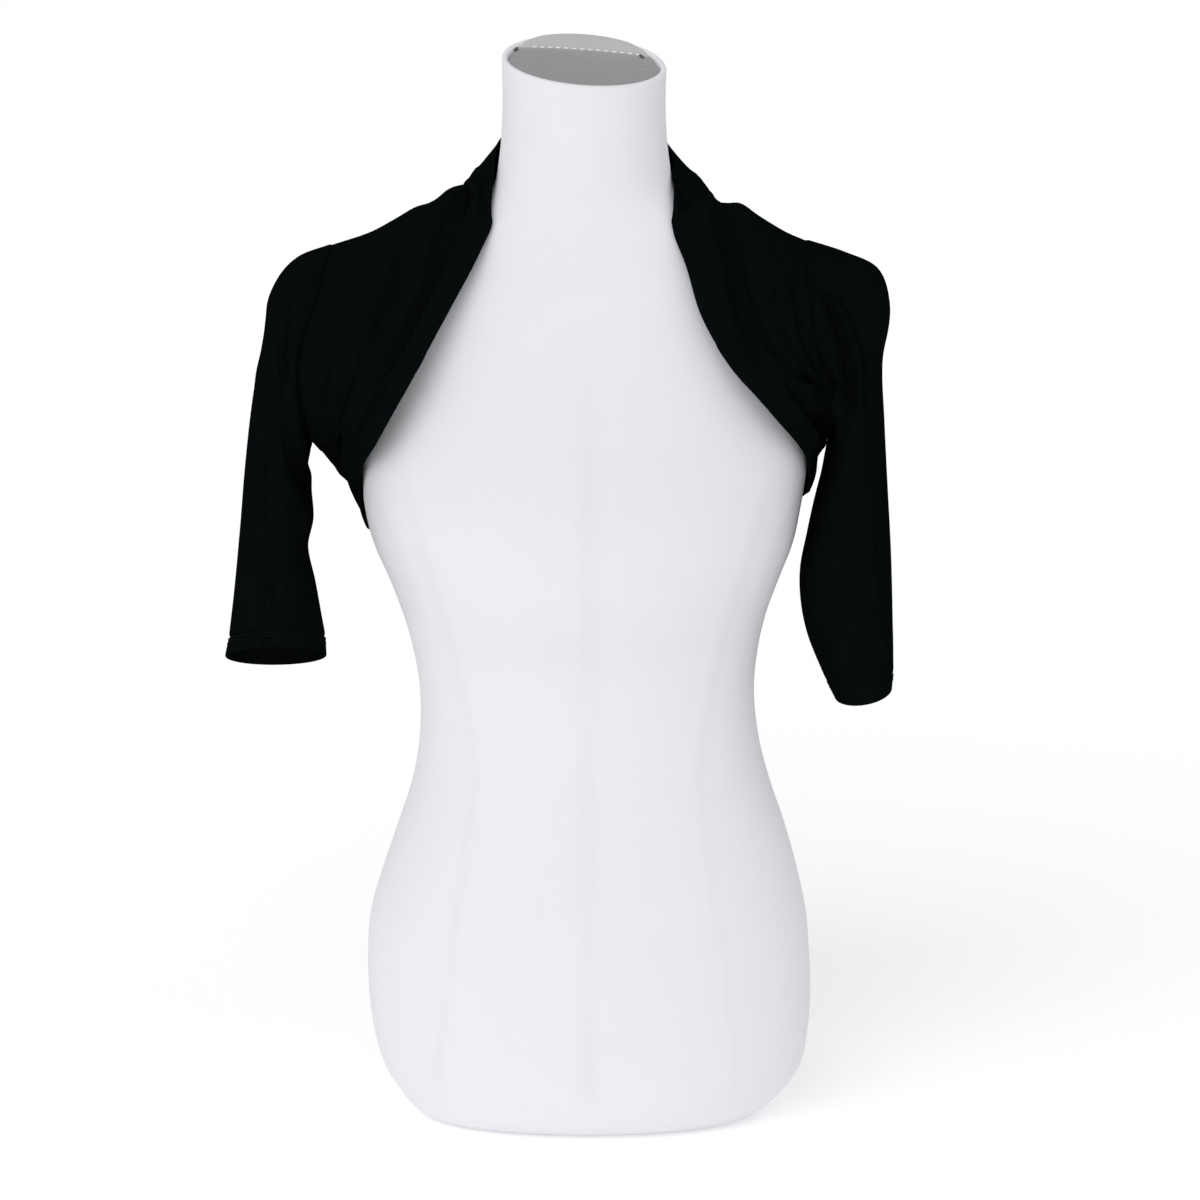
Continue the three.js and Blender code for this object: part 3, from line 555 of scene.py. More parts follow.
# ------------------------------------------------------------------ folds
def beside_line(p, line):
    """For points of the cloth: signed distance to a line on its face, and the share of the
    line's length where each is nearest."""
    line = np.array(line, float)
    lengths = np.linalg.norm(np.diff(line, axis=0), axis=1)
    best = np.full(p.shape[:-1], np.inf)
    side = np.ones(p.shape[:-1])
    share = np.zeros(p.shape[:-1])
    done = 0.0
    flat = p[..., [0, 2]]
    for start, end, length in zip(line, line[1:], lengths):
        way = end - start
        t = np.clip(((flat - start) @ way) / length**2, 0, 1)
        gap = flat - start - t[..., None] * way
        distance = np.linalg.norm(gap, axis=-1)
        nearer = distance < best
        turn = way[0] * gap[..., 1] - way[1] * gap[..., 0]
        best = np.where(nearer, distance, best)
        side = np.where(nearer, np.sign(turn), side)
        share = np.where(nearer, (done + t * length) / lengths.sum(), share)
        done += length
    return best * side, share


def folds_at(p, folds):
    """Height of a table of folds at points of the cloth."""
    height = np.zeros(p.shape[:-1])
    for line, width, depth, ridge, side, fade in folds:
        off, share = beside_line(p, line)
        one = depth * np.exp(-((off / width) ** 2))
        if ridge:
            away = (off - side * RIDGE_OFFSET * width) / (RIDGE_WIDTH * width)
            one = one + ridge * np.exp(-(away ** 2))
        if fade in ("start", "both"):
            one = one * smooth(0, FOLD_FADE, share)
        if fade in ("end", "both"):
            one = one * smooth(0, FOLD_FADE, 1 - share)
        height += one
    return height


def fold_height(p):
    """Height of the folds of the front or the back, fading out towards the sides."""
    near_side = smooth(0, FOLD_SIDE, np.abs(p[..., 1]))
    front, back = folds_at(p, FRONT_FOLDS), folds_at(p, BACK_FOLDS)
    return np.where(p[..., 1] < 0, front, back) * near_side


def fullness(name, grid):
    """How far the points of a sheet stand out because its cloth is a little too large."""
    if name not in ("back", "front_right", "front_left"):
        return np.zeros(grid.shape[:-1])
    return FULLNESS * smooth(0, FULLNESS_START, from_border(grid, False))


@functools.cache
def skin():
    """The finished skin: every sheet's grid in millimetres, with its ways out."""
    sheets = moved(laid_out(), lambda p, n: clear_of_form(p, SEAM_CLEARANCE))
    normals = skin_normals(sheets)
    full = {name: (p + normals[name] * fullness(name, p)[..., None], turned, closed)
            for name, (p, turned, closed) in sheets.items()}
    sheets = moved(full, lambda p, n: p + n * fold_height(p)[..., None])
    sheets = moved(sheets, lambda p, n: clear_of_form(p, FOLD_CLEARANCE))
    return sheets, skin_normals(sheets)


# ------------------------------------------------------------------ meshes
def finer_borders(grid, normals, closed):
    """Adds close rows of points along the borders, so that the seams there are crisp."""
    def places(count):
        inner = np.arange(1, count - 1, dtype=float)
        last = [count - (1 + row) for row in CLOSE_ROWS[::-1]]
        return np.concatenate([[0, *CLOSE_ROWS], inner, last, [count - 1]])

    for axis in (0,) if closed else (0, 1):
        at = places(grid.shape[axis])
        low = np.minimum(at.astype(int), grid.shape[axis] - 2)
        t = (at - low).reshape([-1, 1, 1] if axis == 0 else [1, -1, 1])
        grid = np.take(grid, low, axis) * (1 - t) + np.take(grid, low + 1, axis) * t
        normals = np.take(normals, low, axis) * (1 - t) + np.take(normals, low + 1, axis) * t
    return grid, normals


def way_along(grid, axis):
    """Distance of each point of a grid from the first one in its row or column."""
    steps = np.linalg.norm(np.diff(grid, axis=axis), axis=-1)
    return np.concatenate([np.zeros_like(np.take(grid[..., 0], [0], axis)),
                           np.cumsum(steps, axis=axis)], axis)


def from_border(grid, closed):
    """Distance of each point of a sheet from its nearest seam."""
    down = way_along(grid, 0)
    nearest = np.minimum(down, down[-1:] - down)
    if not closed:
        across = way_along(grid, 1)
        nearest = np.minimum(nearest, np.minimum(across, across[:, -1:] - across))
    return nearest


def cut_map(grid):
    """Place of each point on the flat cut cloth, in metres."""
    across = way_along(grid, 1)
    across -= across[:, grid.shape[1] // 2][:, None]
    return np.stack([across, way_along(grid, 0)], -1) * MM


def grid_mesh(grid, outwards, close_across=False, close_down=False):
    """A mesh laid over a grid of points, welded where the grid closes on itself."""
    if close_across:
        grid = np.concatenate([grid, grid[:, :1]], 1)
    if close_down:
        grid = np.concatenate([grid, grid[:1]], 0)
    rows, cols = grid.shape[0] - 1, grid.shape[1] - 1
    flat = cut_map(grid)
    bm = bmesh.new()
    uv = bm.loops.layers.uv.new("cut")
    bmesh.ops.create_grid(bm, x_segments=cols, y_segments=rows, size=1)
    for vert in bm.verts:
        vert.index = (round((vert.co.y + 1) / 2 * rows) * (cols + 1)
                      + round((vert.co.x + 1) / 2 * cols))
    places, maps = (grid * MM).reshape(-1, 3), flat.reshape(-1, 2)
    for face in bm.faces:
        for loop in face.loops:
            loop[uv].uv = maps[loop.vert.index]
    for vert in bm.verts:
        vert.co = places[vert.index]
    if not outwards:
        bmesh.ops.reverse_faces(bm, faces=bm.faces)
    if close_across or close_down:
        bmesh.ops.remove_doubles(bm, verts=bm.verts, dist=1e-6)
    return bm


def finish_piece(name, bm, material, sharp=40):
    """Turns a bmesh into a named object that rides with the frame."""
    for face in bm.faces:
        face.smooth = True
    mesh = bpy.data.meshes.new(name)
    bm.to_mesh(mesh)
    bm.free()
    mesh.set_sharp_from_angle(angle=math.radians(sharp))
    piece = bpy.data.objects.new(name, mesh)
    bpy.context.collection.objects.link(piece)
    mesh.materials.append(material)
    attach(piece, "root")
    return piece


def make_panel(name):
    """A single layer of jersey: a thin wall under one sheet of the skin."""
    sheets, normals = skin()
    grid, turned, closed = sheets[name]
    grid, ways = finer_borders(grid, normals[name], closed)
    dip = SEAM_DIP * np.exp(-((from_border(grid, closed) / SEAM_SPREAD) ** 2))
    bm = grid_mesh(grid - ways * dip[..., None], turned, close_across=closed)
    piece = finish_piece(f"{name}_cloth", bm, jersey_material())
    wall = piece.modifiers.new("wall", "SOLIDIFY")
    wall.thickness = bpy.context.scene.shrug.wall
    wall.offset = -1
    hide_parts(name)
    return piece


def folded_over(grid, ways, thick):
    """The cross sections of a doubled band: its outer face from the seam to the free edge,
    a round fold, and its inner face back to the seam."""
    into = grid[:, 1] - grid[:, 0]
    into = into / np.linalg.norm(into, axis=-1, keepdims=True)
    t = np.linspace(0, 1, grid.shape[1])
    outer = grid + (into * (thick / 2))[:, None] * (1 - t)[None, :, None]
    inner = outer - ways * thick
    centre = outer[:, 0] - ways[:, 0] * thick / 2
    nose = []
    for angle in np.linspace(0, np.pi, 7)[1:-1]:
        turn = ways[:, 0] * math.cos(angle) - into * math.sin(angle)
        nose.append(centre + turn * thick / 2)
    return np.concatenate([outer[:, ::-1], np.stack(nose, 1), inner], 1)


def make_band(name):
    """A doubled band with a rounded free edge."""
    sheets, normals = skin()
    grid, turned, _ = sheets[name]
    ways = normals[name]
    ring = name.startswith("cuff")
    if ring:  # a cuff's rows run from its seam to its free edge
        grid, ways = grid[::-1].transpose(1, 0, 2), ways[::-1].transpose(1, 0, 2)
    width = np.linalg.norm(np.diff(grid, axis=1), axis=-1)
    from_seam = np.concatenate([width[:, ::-1].cumsum(1)[:, ::-1], np.zeros((len(grid), 1))], 1)
    dip = SEAM_DIP * np.exp(-((from_seam / SEAM_SPREAD) ** 2))
    grid = grid - ways * dip[..., None]
    thick = bpy.context.scene.shrug.hem_wall / MM
    section = folded_over(grid, ways, thick)
    bm = grid_mesh(section, turned != ring, close_across=True, close_down=ring)
    if not ring:
        bmesh.ops.holes_fill(bm, edges=bm.edges, sides=0)
    bmesh.ops.recalc_face_normals(bm, faces=bm.faces)
    piece = finish_piece(f"{name}_cloth", bm, jersey_material(), sharp=60)
    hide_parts(name)
    return piece


# ------------------------------------------------------------------ materials
def new_group(name, inputs, outputs):
    tree = bpy.data.node_groups.new(name, "ShaderNodeTree")
    for label, kind, default in inputs:
        socket = tree.interface.new_socket(name=label, in_out="INPUT", socket_type=kind)
        if default is not None:
            socket.default_value = default
    for label, kind in outputs:
        tree.interface.new_socket(name=label, in_out="OUTPUT", socket_type=kind)
    return tree, tree.nodes.new("NodeGroupInput"), tree.nodes.new("NodeGroupOutput")


def math_node(tree, operation, *values):
    """A maths node whose inputs are sockets or numbers. Returns its output socket."""
    node = tree.nodes.new("ShaderNodeMath")
    node.operation = operation
    for socket, value in zip(node.inputs, values):
        if isinstance(value, bpy.types.NodeSocket):
            tree.links.new(value, socket)
        else:
            socket.default_value = value
    return node.outputs[0]


@functools.cache
def knit_group():
    """Columns of knitted stitches: heights of the loops and the shade between them."""
    tree, ins, outs = new_group("knit_stitches", [
        ("Place", "NodeSocketVector", None), ("Wale", "NodeSocketFloat", 0.0007),
        ("Course", "NodeSocketFloat", 0.0006)],
        [("Height", "NodeSocketFloat"), ("Shade", "NodeSocketFloat")])
    split = tree.nodes.new("ShaderNodeSeparateXYZ")
    tree.links.new(ins.outputs["Place"], split.inputs[0])
    column = math_node(tree, "DIVIDE", split.outputs["X"], ins.outputs["Wale"])
    row = math_node(tree, "DIVIDE", split.outputs["Y"], ins.outputs["Course"])
    across = math_node(tree, "FRACT", column)
    leg = math_node(tree, "ABSOLUTE", math_node(tree, "SUBTRACT", across, 0.5))
    slanted = math_node(tree, "ADD", row, math_node(tree, "MULTIPLY", leg, 1.3))
    loops = math_node(tree, "SINE", math_node(tree, "MULTIPLY", slanted, 2 * math.pi))
    ribs = math_node(tree, "COSINE", math_node(tree, "MULTIPLY", leg, 4 * math.pi))
    rib = math_node(tree, "MULTIPLY_ADD", ribs, -0.5, 0.5)
    loop = math_node(tree, "MULTIPLY_ADD", loops, 0.25, 0.75)
    height = math_node(tree, "MULTIPLY", rib, loop)
    tree.links.new(height, outs.inputs["Height"])
    tree.links.new(math_node(tree, "MULTIPLY_ADD", height, 0.5, 0.5), outs.inputs["Shade"])
    return tree


@functools.cache
def wear_group():
    """Streaks along the cloth and soft patches, as a shade around 1."""
    tree, ins, outs = new_group("cloth_tone", [
        ("Place", "NodeSocketVector", None), ("Streak", "NodeSocketFloat", 0.1),
        ("Patch", "NodeSocketFloat", 0.1)],
        [("Shade", "NodeSocketFloat"), ("Height", "NodeSocketFloat")])
    stretch = tree.nodes.new("ShaderNodeMapping")
    stretch.inputs["Scale"].default_value = (1.0, 0.06, 1.0)
    tree.links.new(ins.outputs["Place"], stretch.inputs["Vector"])
    streaks = tree.nodes.new("ShaderNodeTexNoise")
    streaks.inputs["Scale"].default_value = 520
    streaks.inputs["Detail"].default_value = 3
    tree.links.new(stretch.outputs[0], streaks.inputs["Vector"])
    patches = tree.nodes.new("ShaderNodeTexNoise")
    patches.inputs["Scale"].default_value = 28
    patches.inputs["Detail"].default_value = 4
    tree.links.new(ins.outputs["Place"], patches.inputs["Vector"])
    streak = math_node(tree, "MULTIPLY", math_node(
        tree, "SUBTRACT", streaks.outputs["Fac"], 0.5), ins.outputs["Streak"])
    patch = math_node(tree, "MULTIPLY", math_node(
        tree, "SUBTRACT", patches.outputs["Fac"], 0.5), ins.outputs["Patch"])
    shade = math_node(tree, "ADD", math_node(tree, "ADD", streak, patch), 1.0)
    tree.links.new(shade, outs.inputs["Shade"])
    tree.links.new(streaks.outputs["Fac"], outs.inputs["Height"])
    return tree


def place_group(tree, group, **values):
    node = tree.nodes.new("ShaderNodeGroup")
    node.node_tree = group
    for name, value in values.items():
        if isinstance(value, bpy.types.NodeSocket):
            tree.links.new(value, node.inputs[name])
        else:
            node.inputs[name].default_value = value
    return node


def tinted(tree, colour, shade):
    """A colour made lighter or darker by a shade socket."""
    mix = tree.nodes.new("ShaderNodeMix")
    mix.data_type = "RGBA"
    mix.blend_type = "MULTIPLY"
    mix.inputs["Factor"].default_value = 1
    mix.inputs["A"].default_value = (*colour, 1)
    tree.links.new(shade, mix.inputs["B"])
    return mix.outputs["Result"]


def new_material(name):
    material = bpy.data.materials.new(name)
    material.use_nodes = True
    tree = material.node_tree
    return material, tree, tree.nodes["Principled BSDF"]


@functools.cache
def jersey_material():
    """Fine black jersey: wales and loops, and faint streaks along them."""
    shrug = bpy.context.scene.shrug
    material, tree, cloth = new_material("black_jersey")
    uv = tree.nodes.new("ShaderNodeUVMap")
    uv.uv_map = "cut"
    knit = place_group(tree, knit_group(), Place=uv.outputs[0], Wale=shrug.wale,
                       Course=shrug.wale * 0.85)
    tone = place_group(tree, wear_group(), Place=uv.outputs[0], Streak=0.5, Patch=0.35)
    shade = math_node(tree, "MULTIPLY", knit.outputs["Shade"], tone.outputs["Shade"])
    tree.links.new(tinted(tree, tuple(shrug.jersey_colour), shade), cloth.inputs["Base Color"])
    rough = math_node(tree, "MULTIPLY_ADD", tone.outputs["Height"], -0.12, 0.98)
    tree.links.new(rough, cloth.inputs["Roughness"])
    cloth.inputs["Specular IOR Level"].default_value = 0.0
    height = math_node(tree, "MULTIPLY_ADD", tone.outputs["Height"], 0.6, knit.outputs["Height"])
    bump = tree.nodes.new("ShaderNodeBump")
    bump.inputs["Strength"].default_value = 0.35
    bump.inputs["Distance"].default_value = 0.0002
    tree.links.new(height, bump.inputs["Height"])
    tree.links.new(bump.outputs[0], cloth.inputs["Normal"])
    return material


@functools.cache
def thread_material(name, colour):
    """Sewing thread with a slight twist."""
    material, tree, thread = new_material(name)
    place = tree.nodes.new("ShaderNodeTexCoord")
    noise = tree.nodes.new("ShaderNodeTexNoise")
    noise.inputs["Scale"].default_value = 900
    tree.links.new(place.outputs["Object"], noise.inputs["Vector"])
    shade = math_node(tree, "MULTIPLY_ADD", noise.outputs["Fac"], 0.5, 0.75)
    tree.links.new(tinted(tree, colour, shade), thread.inputs["Base Color"])
    thread.inputs["Roughness"].default_value = 0.6
    thread.inputs["Specular IOR Level"].default_value = 0.0
    return material


@functools.cache
def cover_material():
    """White jersey stretched over the padding, with the padding's lines showing through."""
    form = bpy.context.scene.dress_form
    material, tree, cover = new_material("white_cover")
    uv = tree.nodes.new("ShaderNodeUVMap")
    uv.uv_map = "cut"
    knit = place_group(tree, knit_group(), Place=uv.outputs[0], Wale=0.0008, Course=0.0007)
    tone = place_group(tree, wear_group(), Place=uv.outputs[0], Streak=0.02, Patch=0.03)
    lines = tree.nodes.new("ShaderNodeAttribute")
    lines.attribute_name = "padding_line"
    dark = math_node(tree, "MULTIPLY", lines.outputs["Fac"], -form.seam_tone)
    shade = math_node(tree, "ADD", tone.outputs["Shade"], dark)
    loops = math_node(tree, "MULTIPLY_ADD", knit.outputs["Shade"], 0.05, 0.96)
    shade = math_node(tree, "MULTIPLY", shade, loops)
    tree.links.new(tinted(tree, tuple(form.cover_colour), shade), cover.inputs["Base Color"])
    cover.inputs["Roughness"].default_value = 0.85
    cover.inputs["Specular IOR Level"].default_value = 0.15
    bump = tree.nodes.new("ShaderNodeBump")
    bump.inputs["Strength"].default_value = 0.15
    bump.inputs["Distance"].default_value = 0.0002
    tree.links.new(knit.outputs["Height"], bump.inputs["Height"])
    tree.links.new(bump.outputs[0], cover.inputs["Normal"])
    return material


@functools.cache
def cap_material():
    """Cloth in the hollow of the neck: its grey is painted shade of the hollow, and behind its seam
    it is painted lighter.
    """
    form = bpy.context.scene.dress_form
    material, tree, cap = new_material("cap_cloth")
    place = tree.nodes.new("ShaderNodeTexCoord")
    tone = place_group(tree, wear_group(), Place=place.outputs["Object"], Streak=0.04, Patch=0.08)
    # Painted light: the cap behind its seam is made up to 1.62 times lighter, as the side that
    # catches more light.
    lit_back_mask = tree.nodes.new("ShaderNodeAttribute")
    lit_back_mask.attribute_name = "painted_lit_back"
    painted_lighter = math_node(tree, "MULTIPLY_ADD", lit_back_mask.outputs["Fac"], 0.62, 1.0)
    shade = math_node(tree, "MULTIPLY", tone.outputs["Shade"], painted_lighter)
    tree.links.new(tinted(tree, tuple(form.cap_shaded_colour), shade), cap.inputs["Base Color"])
    cap.inputs["Roughness"].default_value = 0.9
    cap.inputs["Specular IOR Level"].default_value = 0.1
    noise = tree.nodes.new("ShaderNodeTexNoise")
    noise.inputs["Scale"].default_value = 1400
    tree.links.new(place.outputs["Object"], noise.inputs["Vector"])
    bump = tree.nodes.new("ShaderNodeBump")
    bump.inputs["Strength"].default_value = 0.2
    bump.inputs["Distance"].default_value = 0.0003
    tree.links.new(noise.outputs["Fac"], bump.inputs["Height"])
    tree.links.new(bump.outputs[0], cap.inputs["Normal"])
    return material


@functools.cache
def metal_material():
    material, tree, metal = new_material("staple_metal")
    place = tree.nodes.new("ShaderNodeTexCoord")
    noise = tree.nodes.new("ShaderNodeTexNoise")
    noise.inputs["Scale"].default_value = 600
    tree.links.new(place.outputs["Object"], noise.inputs["Vector"])
    rough = math_node(tree, "MULTIPLY_ADD", noise.outputs["Fac"], 0.25, 0.3)
    tree.links.new(rough, metal.inputs["Roughness"])
    metal.inputs["Base Color"].default_value = (0.12, 0.13, 0.15, 1)
    metal.inputs["Metallic"].default_value = 0.9
    return material


def floor_material():
    studio = bpy.context.scene.studio
    material, _, floor = new_material("studio_floor")
    floor.inputs["Base Color"].default_value = (*studio.floor_colour, 1)
    floor.inputs["Roughness"].default_value = 1.0
    floor.inputs["Specular IOR Level"].default_value = 0.0
    floor.inputs["Emission Color"].default_value = (1, 1, 1, 1)
    floor.inputs["Emission Strength"].default_value = studio.floor_glow
    return material


# ------------------------------------------------------------------ dress form
FORM_SEGMENTS = 144
FORM_ROW = 5  # height of a row of the cover
FOOT_INSETS = (40, 14, 5, 1.5)  # rings on the flat base, measured inwards from its edge
RIM_ROLL = 2.0  # height of the rim's round top
RIM_STEPS = 11
HOLLOW_PINCH = 0.3  # how much narrower the hollow of the neck is at its two ends
# Lines of the padding under the cover, as x, z points of the wearer's left half.
PADDING_LINES = [
    [(3, 560), (3, 20)],
    [(128, 482), (119, 450), (105, 402), (92, 357), (82, 300), (76, 262), (86, 188),
     (98, 108), (106, 26)],
    [(146, 452), (128, 420), (113, 368)],
]
PADDING_WIDTH = 3.4
PADDING_HEIGHT = 0.15
PADDING_FADE = (0.1, 0.05)  # shares of a line over which it fades at its top and its foot


def padding_line(p):
    """How much of a line of the padding shows at points of the form."""
    mirrored = p.copy()
    mirrored[..., 0] = np.abs(p[..., 0])
    shown = np.zeros(p.shape[:-1])
    for line in PADDING_LINES:
        off, share = beside_line(mirrored, line)
        ends = smooth(0, PADDING_FADE[0], share) * smooth(0, PADDING_FADE[1], 1 - share)
        shown = np.maximum(shown, np.exp(-((off / PADDING_WIDTH) ** 2)) * ends)
    return shown


def make_torso():
    """The form: a ring at its foot, drawn up section by section and turned in at the rim."""
    angles = np.arange(FORM_SEGMENTS) * 2 * np.pi / FORM_SEGMENTS
    heights = [z for row, after in zip(FORM_SECTIONS[:, 0], FORM_SECTIONS[1:, 0])
               for z in np.linspace(row, after, max(1, round((after - row) / FORM_ROW)),
                                    endpoint=False)]
    rings = [form_ring(0, angles, inset) for inset in FOOT_INSETS]
    rings += [form_ring(z, angles) for z in heights]
    top = RIM_HEIGHT - RIM_ROLL
    outside, hollow = form_ring(top, angles), hollow_ring(angles)
    for turn in np.linspace(0, np.pi, RIM_STEPS):
        share = (1 - math.cos(turn)) / 2
        rings.append(outside * (1 - share) + hollow * share
                     + np.array([0, 0, RIM_ROLL * math.sin(turn)]))
    rings.append(hollow - np.array([0, 0, RECESS - RIM_ROLL]))
    grid = np.stack(rings)
    lines = padding_line(grid)
    out = from_form(grid)[1]
    grid = grid + out * (lines * PADDING_HEIGHT)[..., None]
    bm = grid_mesh(grid, True, close_across=True)
    bmesh.ops.holes_fill(bm, edges=[e for e in bm.edges if e.is_boundary], sides=0)
    shown = bm.verts.layers.float.new("padding_line")
    for vert in bm.verts:
        vert[shown] = float(padding_line(np.array(vert.co) / MM))
    bmesh.ops.recalc_face_normals(bm, faces=bm.faces)
    piece = finish_piece("form_cover", bm, cover_material(), sharp=60)
    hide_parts("form_torso")
    return piece


CAP_DIP = 3.0  # depth of the cap's border below the rim at the front
CAP_DOME = 1.8  # how far the cap's seam stands above the cloth beside it
CAP_SEAM = 0.42  # place of that seam, as a share of the way from the middle to the back
CAP_SEAM_WIDTH = 0.07  # in the same shares
CAP_RINGS = 44
CAP_GAP = 0.4  # between the cap's border and the inside of the rim
CAP_SHIFT = 2  # how far the cap lies towards the wearer's right
CAP_LAP = 3.2  # how far it laps over the rim at the back
CAP_LAP_RISE = 0.9  # and how far above the rim it lies there
CAP_DISH = 1.0  # how far it sags in front of the seam
CAP_UNDER = (2.5, 1.9)  # depth of its underside at the front, and what the back has less
GATHER_HEIGHT = 0.45
GATHER_TURNS = 24
GATHER_PLACE = 0.84  # from the middle to each end, as a share
GATHER_WIDTH = 0.12
CAP_STITCH = 3.6
CAP_PITCH = 5.4
CAP_STITCHED = (-0.66, 0.78)  # shares of the half width between which the seam is stitched
CAP_HALF_WIDTH = 51
CAP_THREAD = 0.0013
CAP_THREAD_LIFT = 0.0004
STAPLES = [(-0.9, 0.34, 0.3), (0.76, 0.38, -0.5)]  # places on the cap, and the turn of each
STAPLE_LENGTH = 0.0075
STAPLE_WIRE = 0.0015
STAPLE_LIFT = 0.0009
STITCH_FLAT = 1.3  # how much wider than high a stitch is


def hollow_ring(angles, inset=0.0):
    """The inner edge of the rim, drawn together where the neck is widest."""
    ring = form_ring(RIM_HEIGHT - RIM_ROLL, angles, RIM_WALL + inset)
    ring[:, 1] *= 1 - HOLLOW_PINCH * np.cos(angles) ** 8
    return ring


def cap_point(x, y):
    """A place on the neck cap in millimetres, from shares of its half width and depth."""
    side = form_size("side", RIM_HEIGHT) - RIM_WALL - CAP_GAP
    front, back = (form_size(name, RIM_HEIGHT) for name in ("front", "back"))
    at_back = smooth(0.1, 0.85, y)
    depth = np.where(y < 0, front - RIM_WALL - CAP_GAP,
                     back - RIM_WALL - CAP_GAP + CAP_LAP * at_back)
    px, py = x * side - CAP_SHIFT, y * depth
    across = np.clip(1 - x**2, 0, 1)
    seam = CAP_DOME * np.exp(-(((y - CAP_SEAM) / CAP_SEAM_WIDTH) ** 2)) * across
    dish = -CAP_DISH * np.sin(np.pi * smooth(-1, CAP_SEAM, y)) * across
    at_end = np.exp(-(((np.abs(x) - GATHER_PLACE) / GATHER_WIDTH) ** 2))
    gather = GATHER_HEIGHT * np.sin(y * GATHER_TURNS) * at_end * (y < 0.7)
    rise = RIM_SLOPE_BACK * py + RIM_SLOPE_SIDE * px
    lift = -CAP_DIP + (CAP_DIP + CAP_LAP_RISE) * at_back
    return np.stack([px, py, RIM_HEIGHT + rise + lift + seam + dish + gather], -1)


def make_cap():
    """The cloth that closes the neck: sunk at the front, lapped over the rim at the back."""
    angles = np.arange(FORM_SEGMENTS) * 2 * np.pi / FORM_SEGMENTS
    pinch = 1 - HOLLOW_PINCH * np.cos(angles) ** 8
    border = (np.cos(angles), np.sin(angles) * pinch)
    rings = [cap_point(s * border[0], s * border[1]) for s in np.linspace(1, 0.02, CAP_RINGS)]
    below = rings[0].copy()
    below[:, 2] -= CAP_UNDER[0] - CAP_UNDER[1] * smooth(0.1, 0.7, border[1])
    bm = grid_mesh(np.stack([below, *rings]), True, close_across=True)
    bmesh.ops.holes_fill(bm, edges=[e for e in bm.edges if e.is_boundary], sides=0)
    bmesh.ops.recalc_face_normals(bm, faces=bm.faces)
    # Painted light: share of the cap behind its seam, which its material paints lighter.
    lit_back_mask = bm.verts.layers.float.new("painted_lit_back")
    seam_line = cap_point(np.array(0.0), np.array(CAP_SEAM))[1]
    for vert in bm.verts:
        vert[lit_back_mask] = float(smooth(-2.0, 2.0, vert.co.y / MM - seam_line))
    piece = finish_piece("neck_cap_cloth", bm, cap_material(), sharp=50)
    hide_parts("neck_cap")
    return piece


def stitch_row(bm, places, ways, length, thick):
    """Adds one rounded stitch at each place, lying along its way."""
    for place, way, out in zip(places, ways[0], ways[1]):
        along_it = Vector(way).normalized()
        up = Vector(out).normalized()
        side = up.cross(along_it).normalized()
        turn = Matrix((side, along_it, along_it.cross(side) * -1)).transposed().to_4x4()
        made = bmesh.ops.create_uvsphere(bm, u_segments=8, v_segments=5, radius=0.5)
        verts = made["verts"]
        bmesh.ops.scale(bm, verts=verts, vec=(thick * STITCH_FLAT, thick, length))
        bmesh.ops.rotate(bm, verts=verts, cent=(0, 0, 0), matrix=Matrix.Rotation(
            math.pi / 2, 3, "X"))
        bmesh.ops.transform(bm, verts=verts, matrix=Matrix.Translation(Vector(place)) @ turn)


# ------------------------------------------------------------------ operators
HEM_ROWS = (0.14, 0.36)  # rows of stitches, as shares of the way down a cuff
HEM_PITCH = 1.25  # from stitch to stitch, in lengths of a stitch
HEM_THREAD = 0.00038
HEM_LIFT = 0.0001  # of the thread above the cloth
FLOOR_SIZE = 30
KEY_ANGLE = 50  # how wide the key light looks, in degrees
KEY_FROM = (-0.4, -1.0, 0.75)
CAMERA = {"sensor": 36.0, "lens": 86.86, "shift": 0.0108, "height": 0.7, "aim": 0.372}
# Each piece's flat cut: width and length, its area, how it is held and what it rests on.
PANEL_CUTS = {
    "back": ((0.42, 0.27), 0.104, "stretched", ["form_cover"]),
    "front_right": ((0.12, 0.21), 0.0166, "draped", ["form_cover"]),
    "front_left": ((0.12, 0.21), 0.0133, "draped", ["form_cover"]),
    "sleeve_right": ((0.28, 0.28), 0.0527, "hung", ["back_cloth", "front_right_cloth"]),
    "sleeve_left": ((0.30, 0.32), 0.0665, "hung", ["back_cloth", "front_left_cloth"]),
}
BAND_CUTS = {
    "band_front_right": ((0.028, 0.26), None, "folded", ["front_right_cloth", "form_cover"]),
    "band_front_left": ((0.028, 0.26), None, "folded", ["front_left_cloth", "form_cover"]),
    "band_back_neck": ((0.050, 0.23), None, "folded", ["back_cloth"]),
    "band_back_hem": ((0.028, 0.395), None, "folded", ["back_cloth", "form_cover"]),
    "cuff_right": ((0.016, 0.22), None, "folded", ["sleeve_right_cloth"]),
    "cuff_left": ((0.015, 0.205), None, "folded", ["sleeve_left_cloth"]),
}
class SHRUG_OT_torso(bpy.types.Operator):
    """Build the dress form's padded torso and neck under its cover"""
    bl_idname = "shrug.torso"
    bl_label = "Dress form"

    def execute(self, context):
        make_torso()
        return {"FINISHED"}


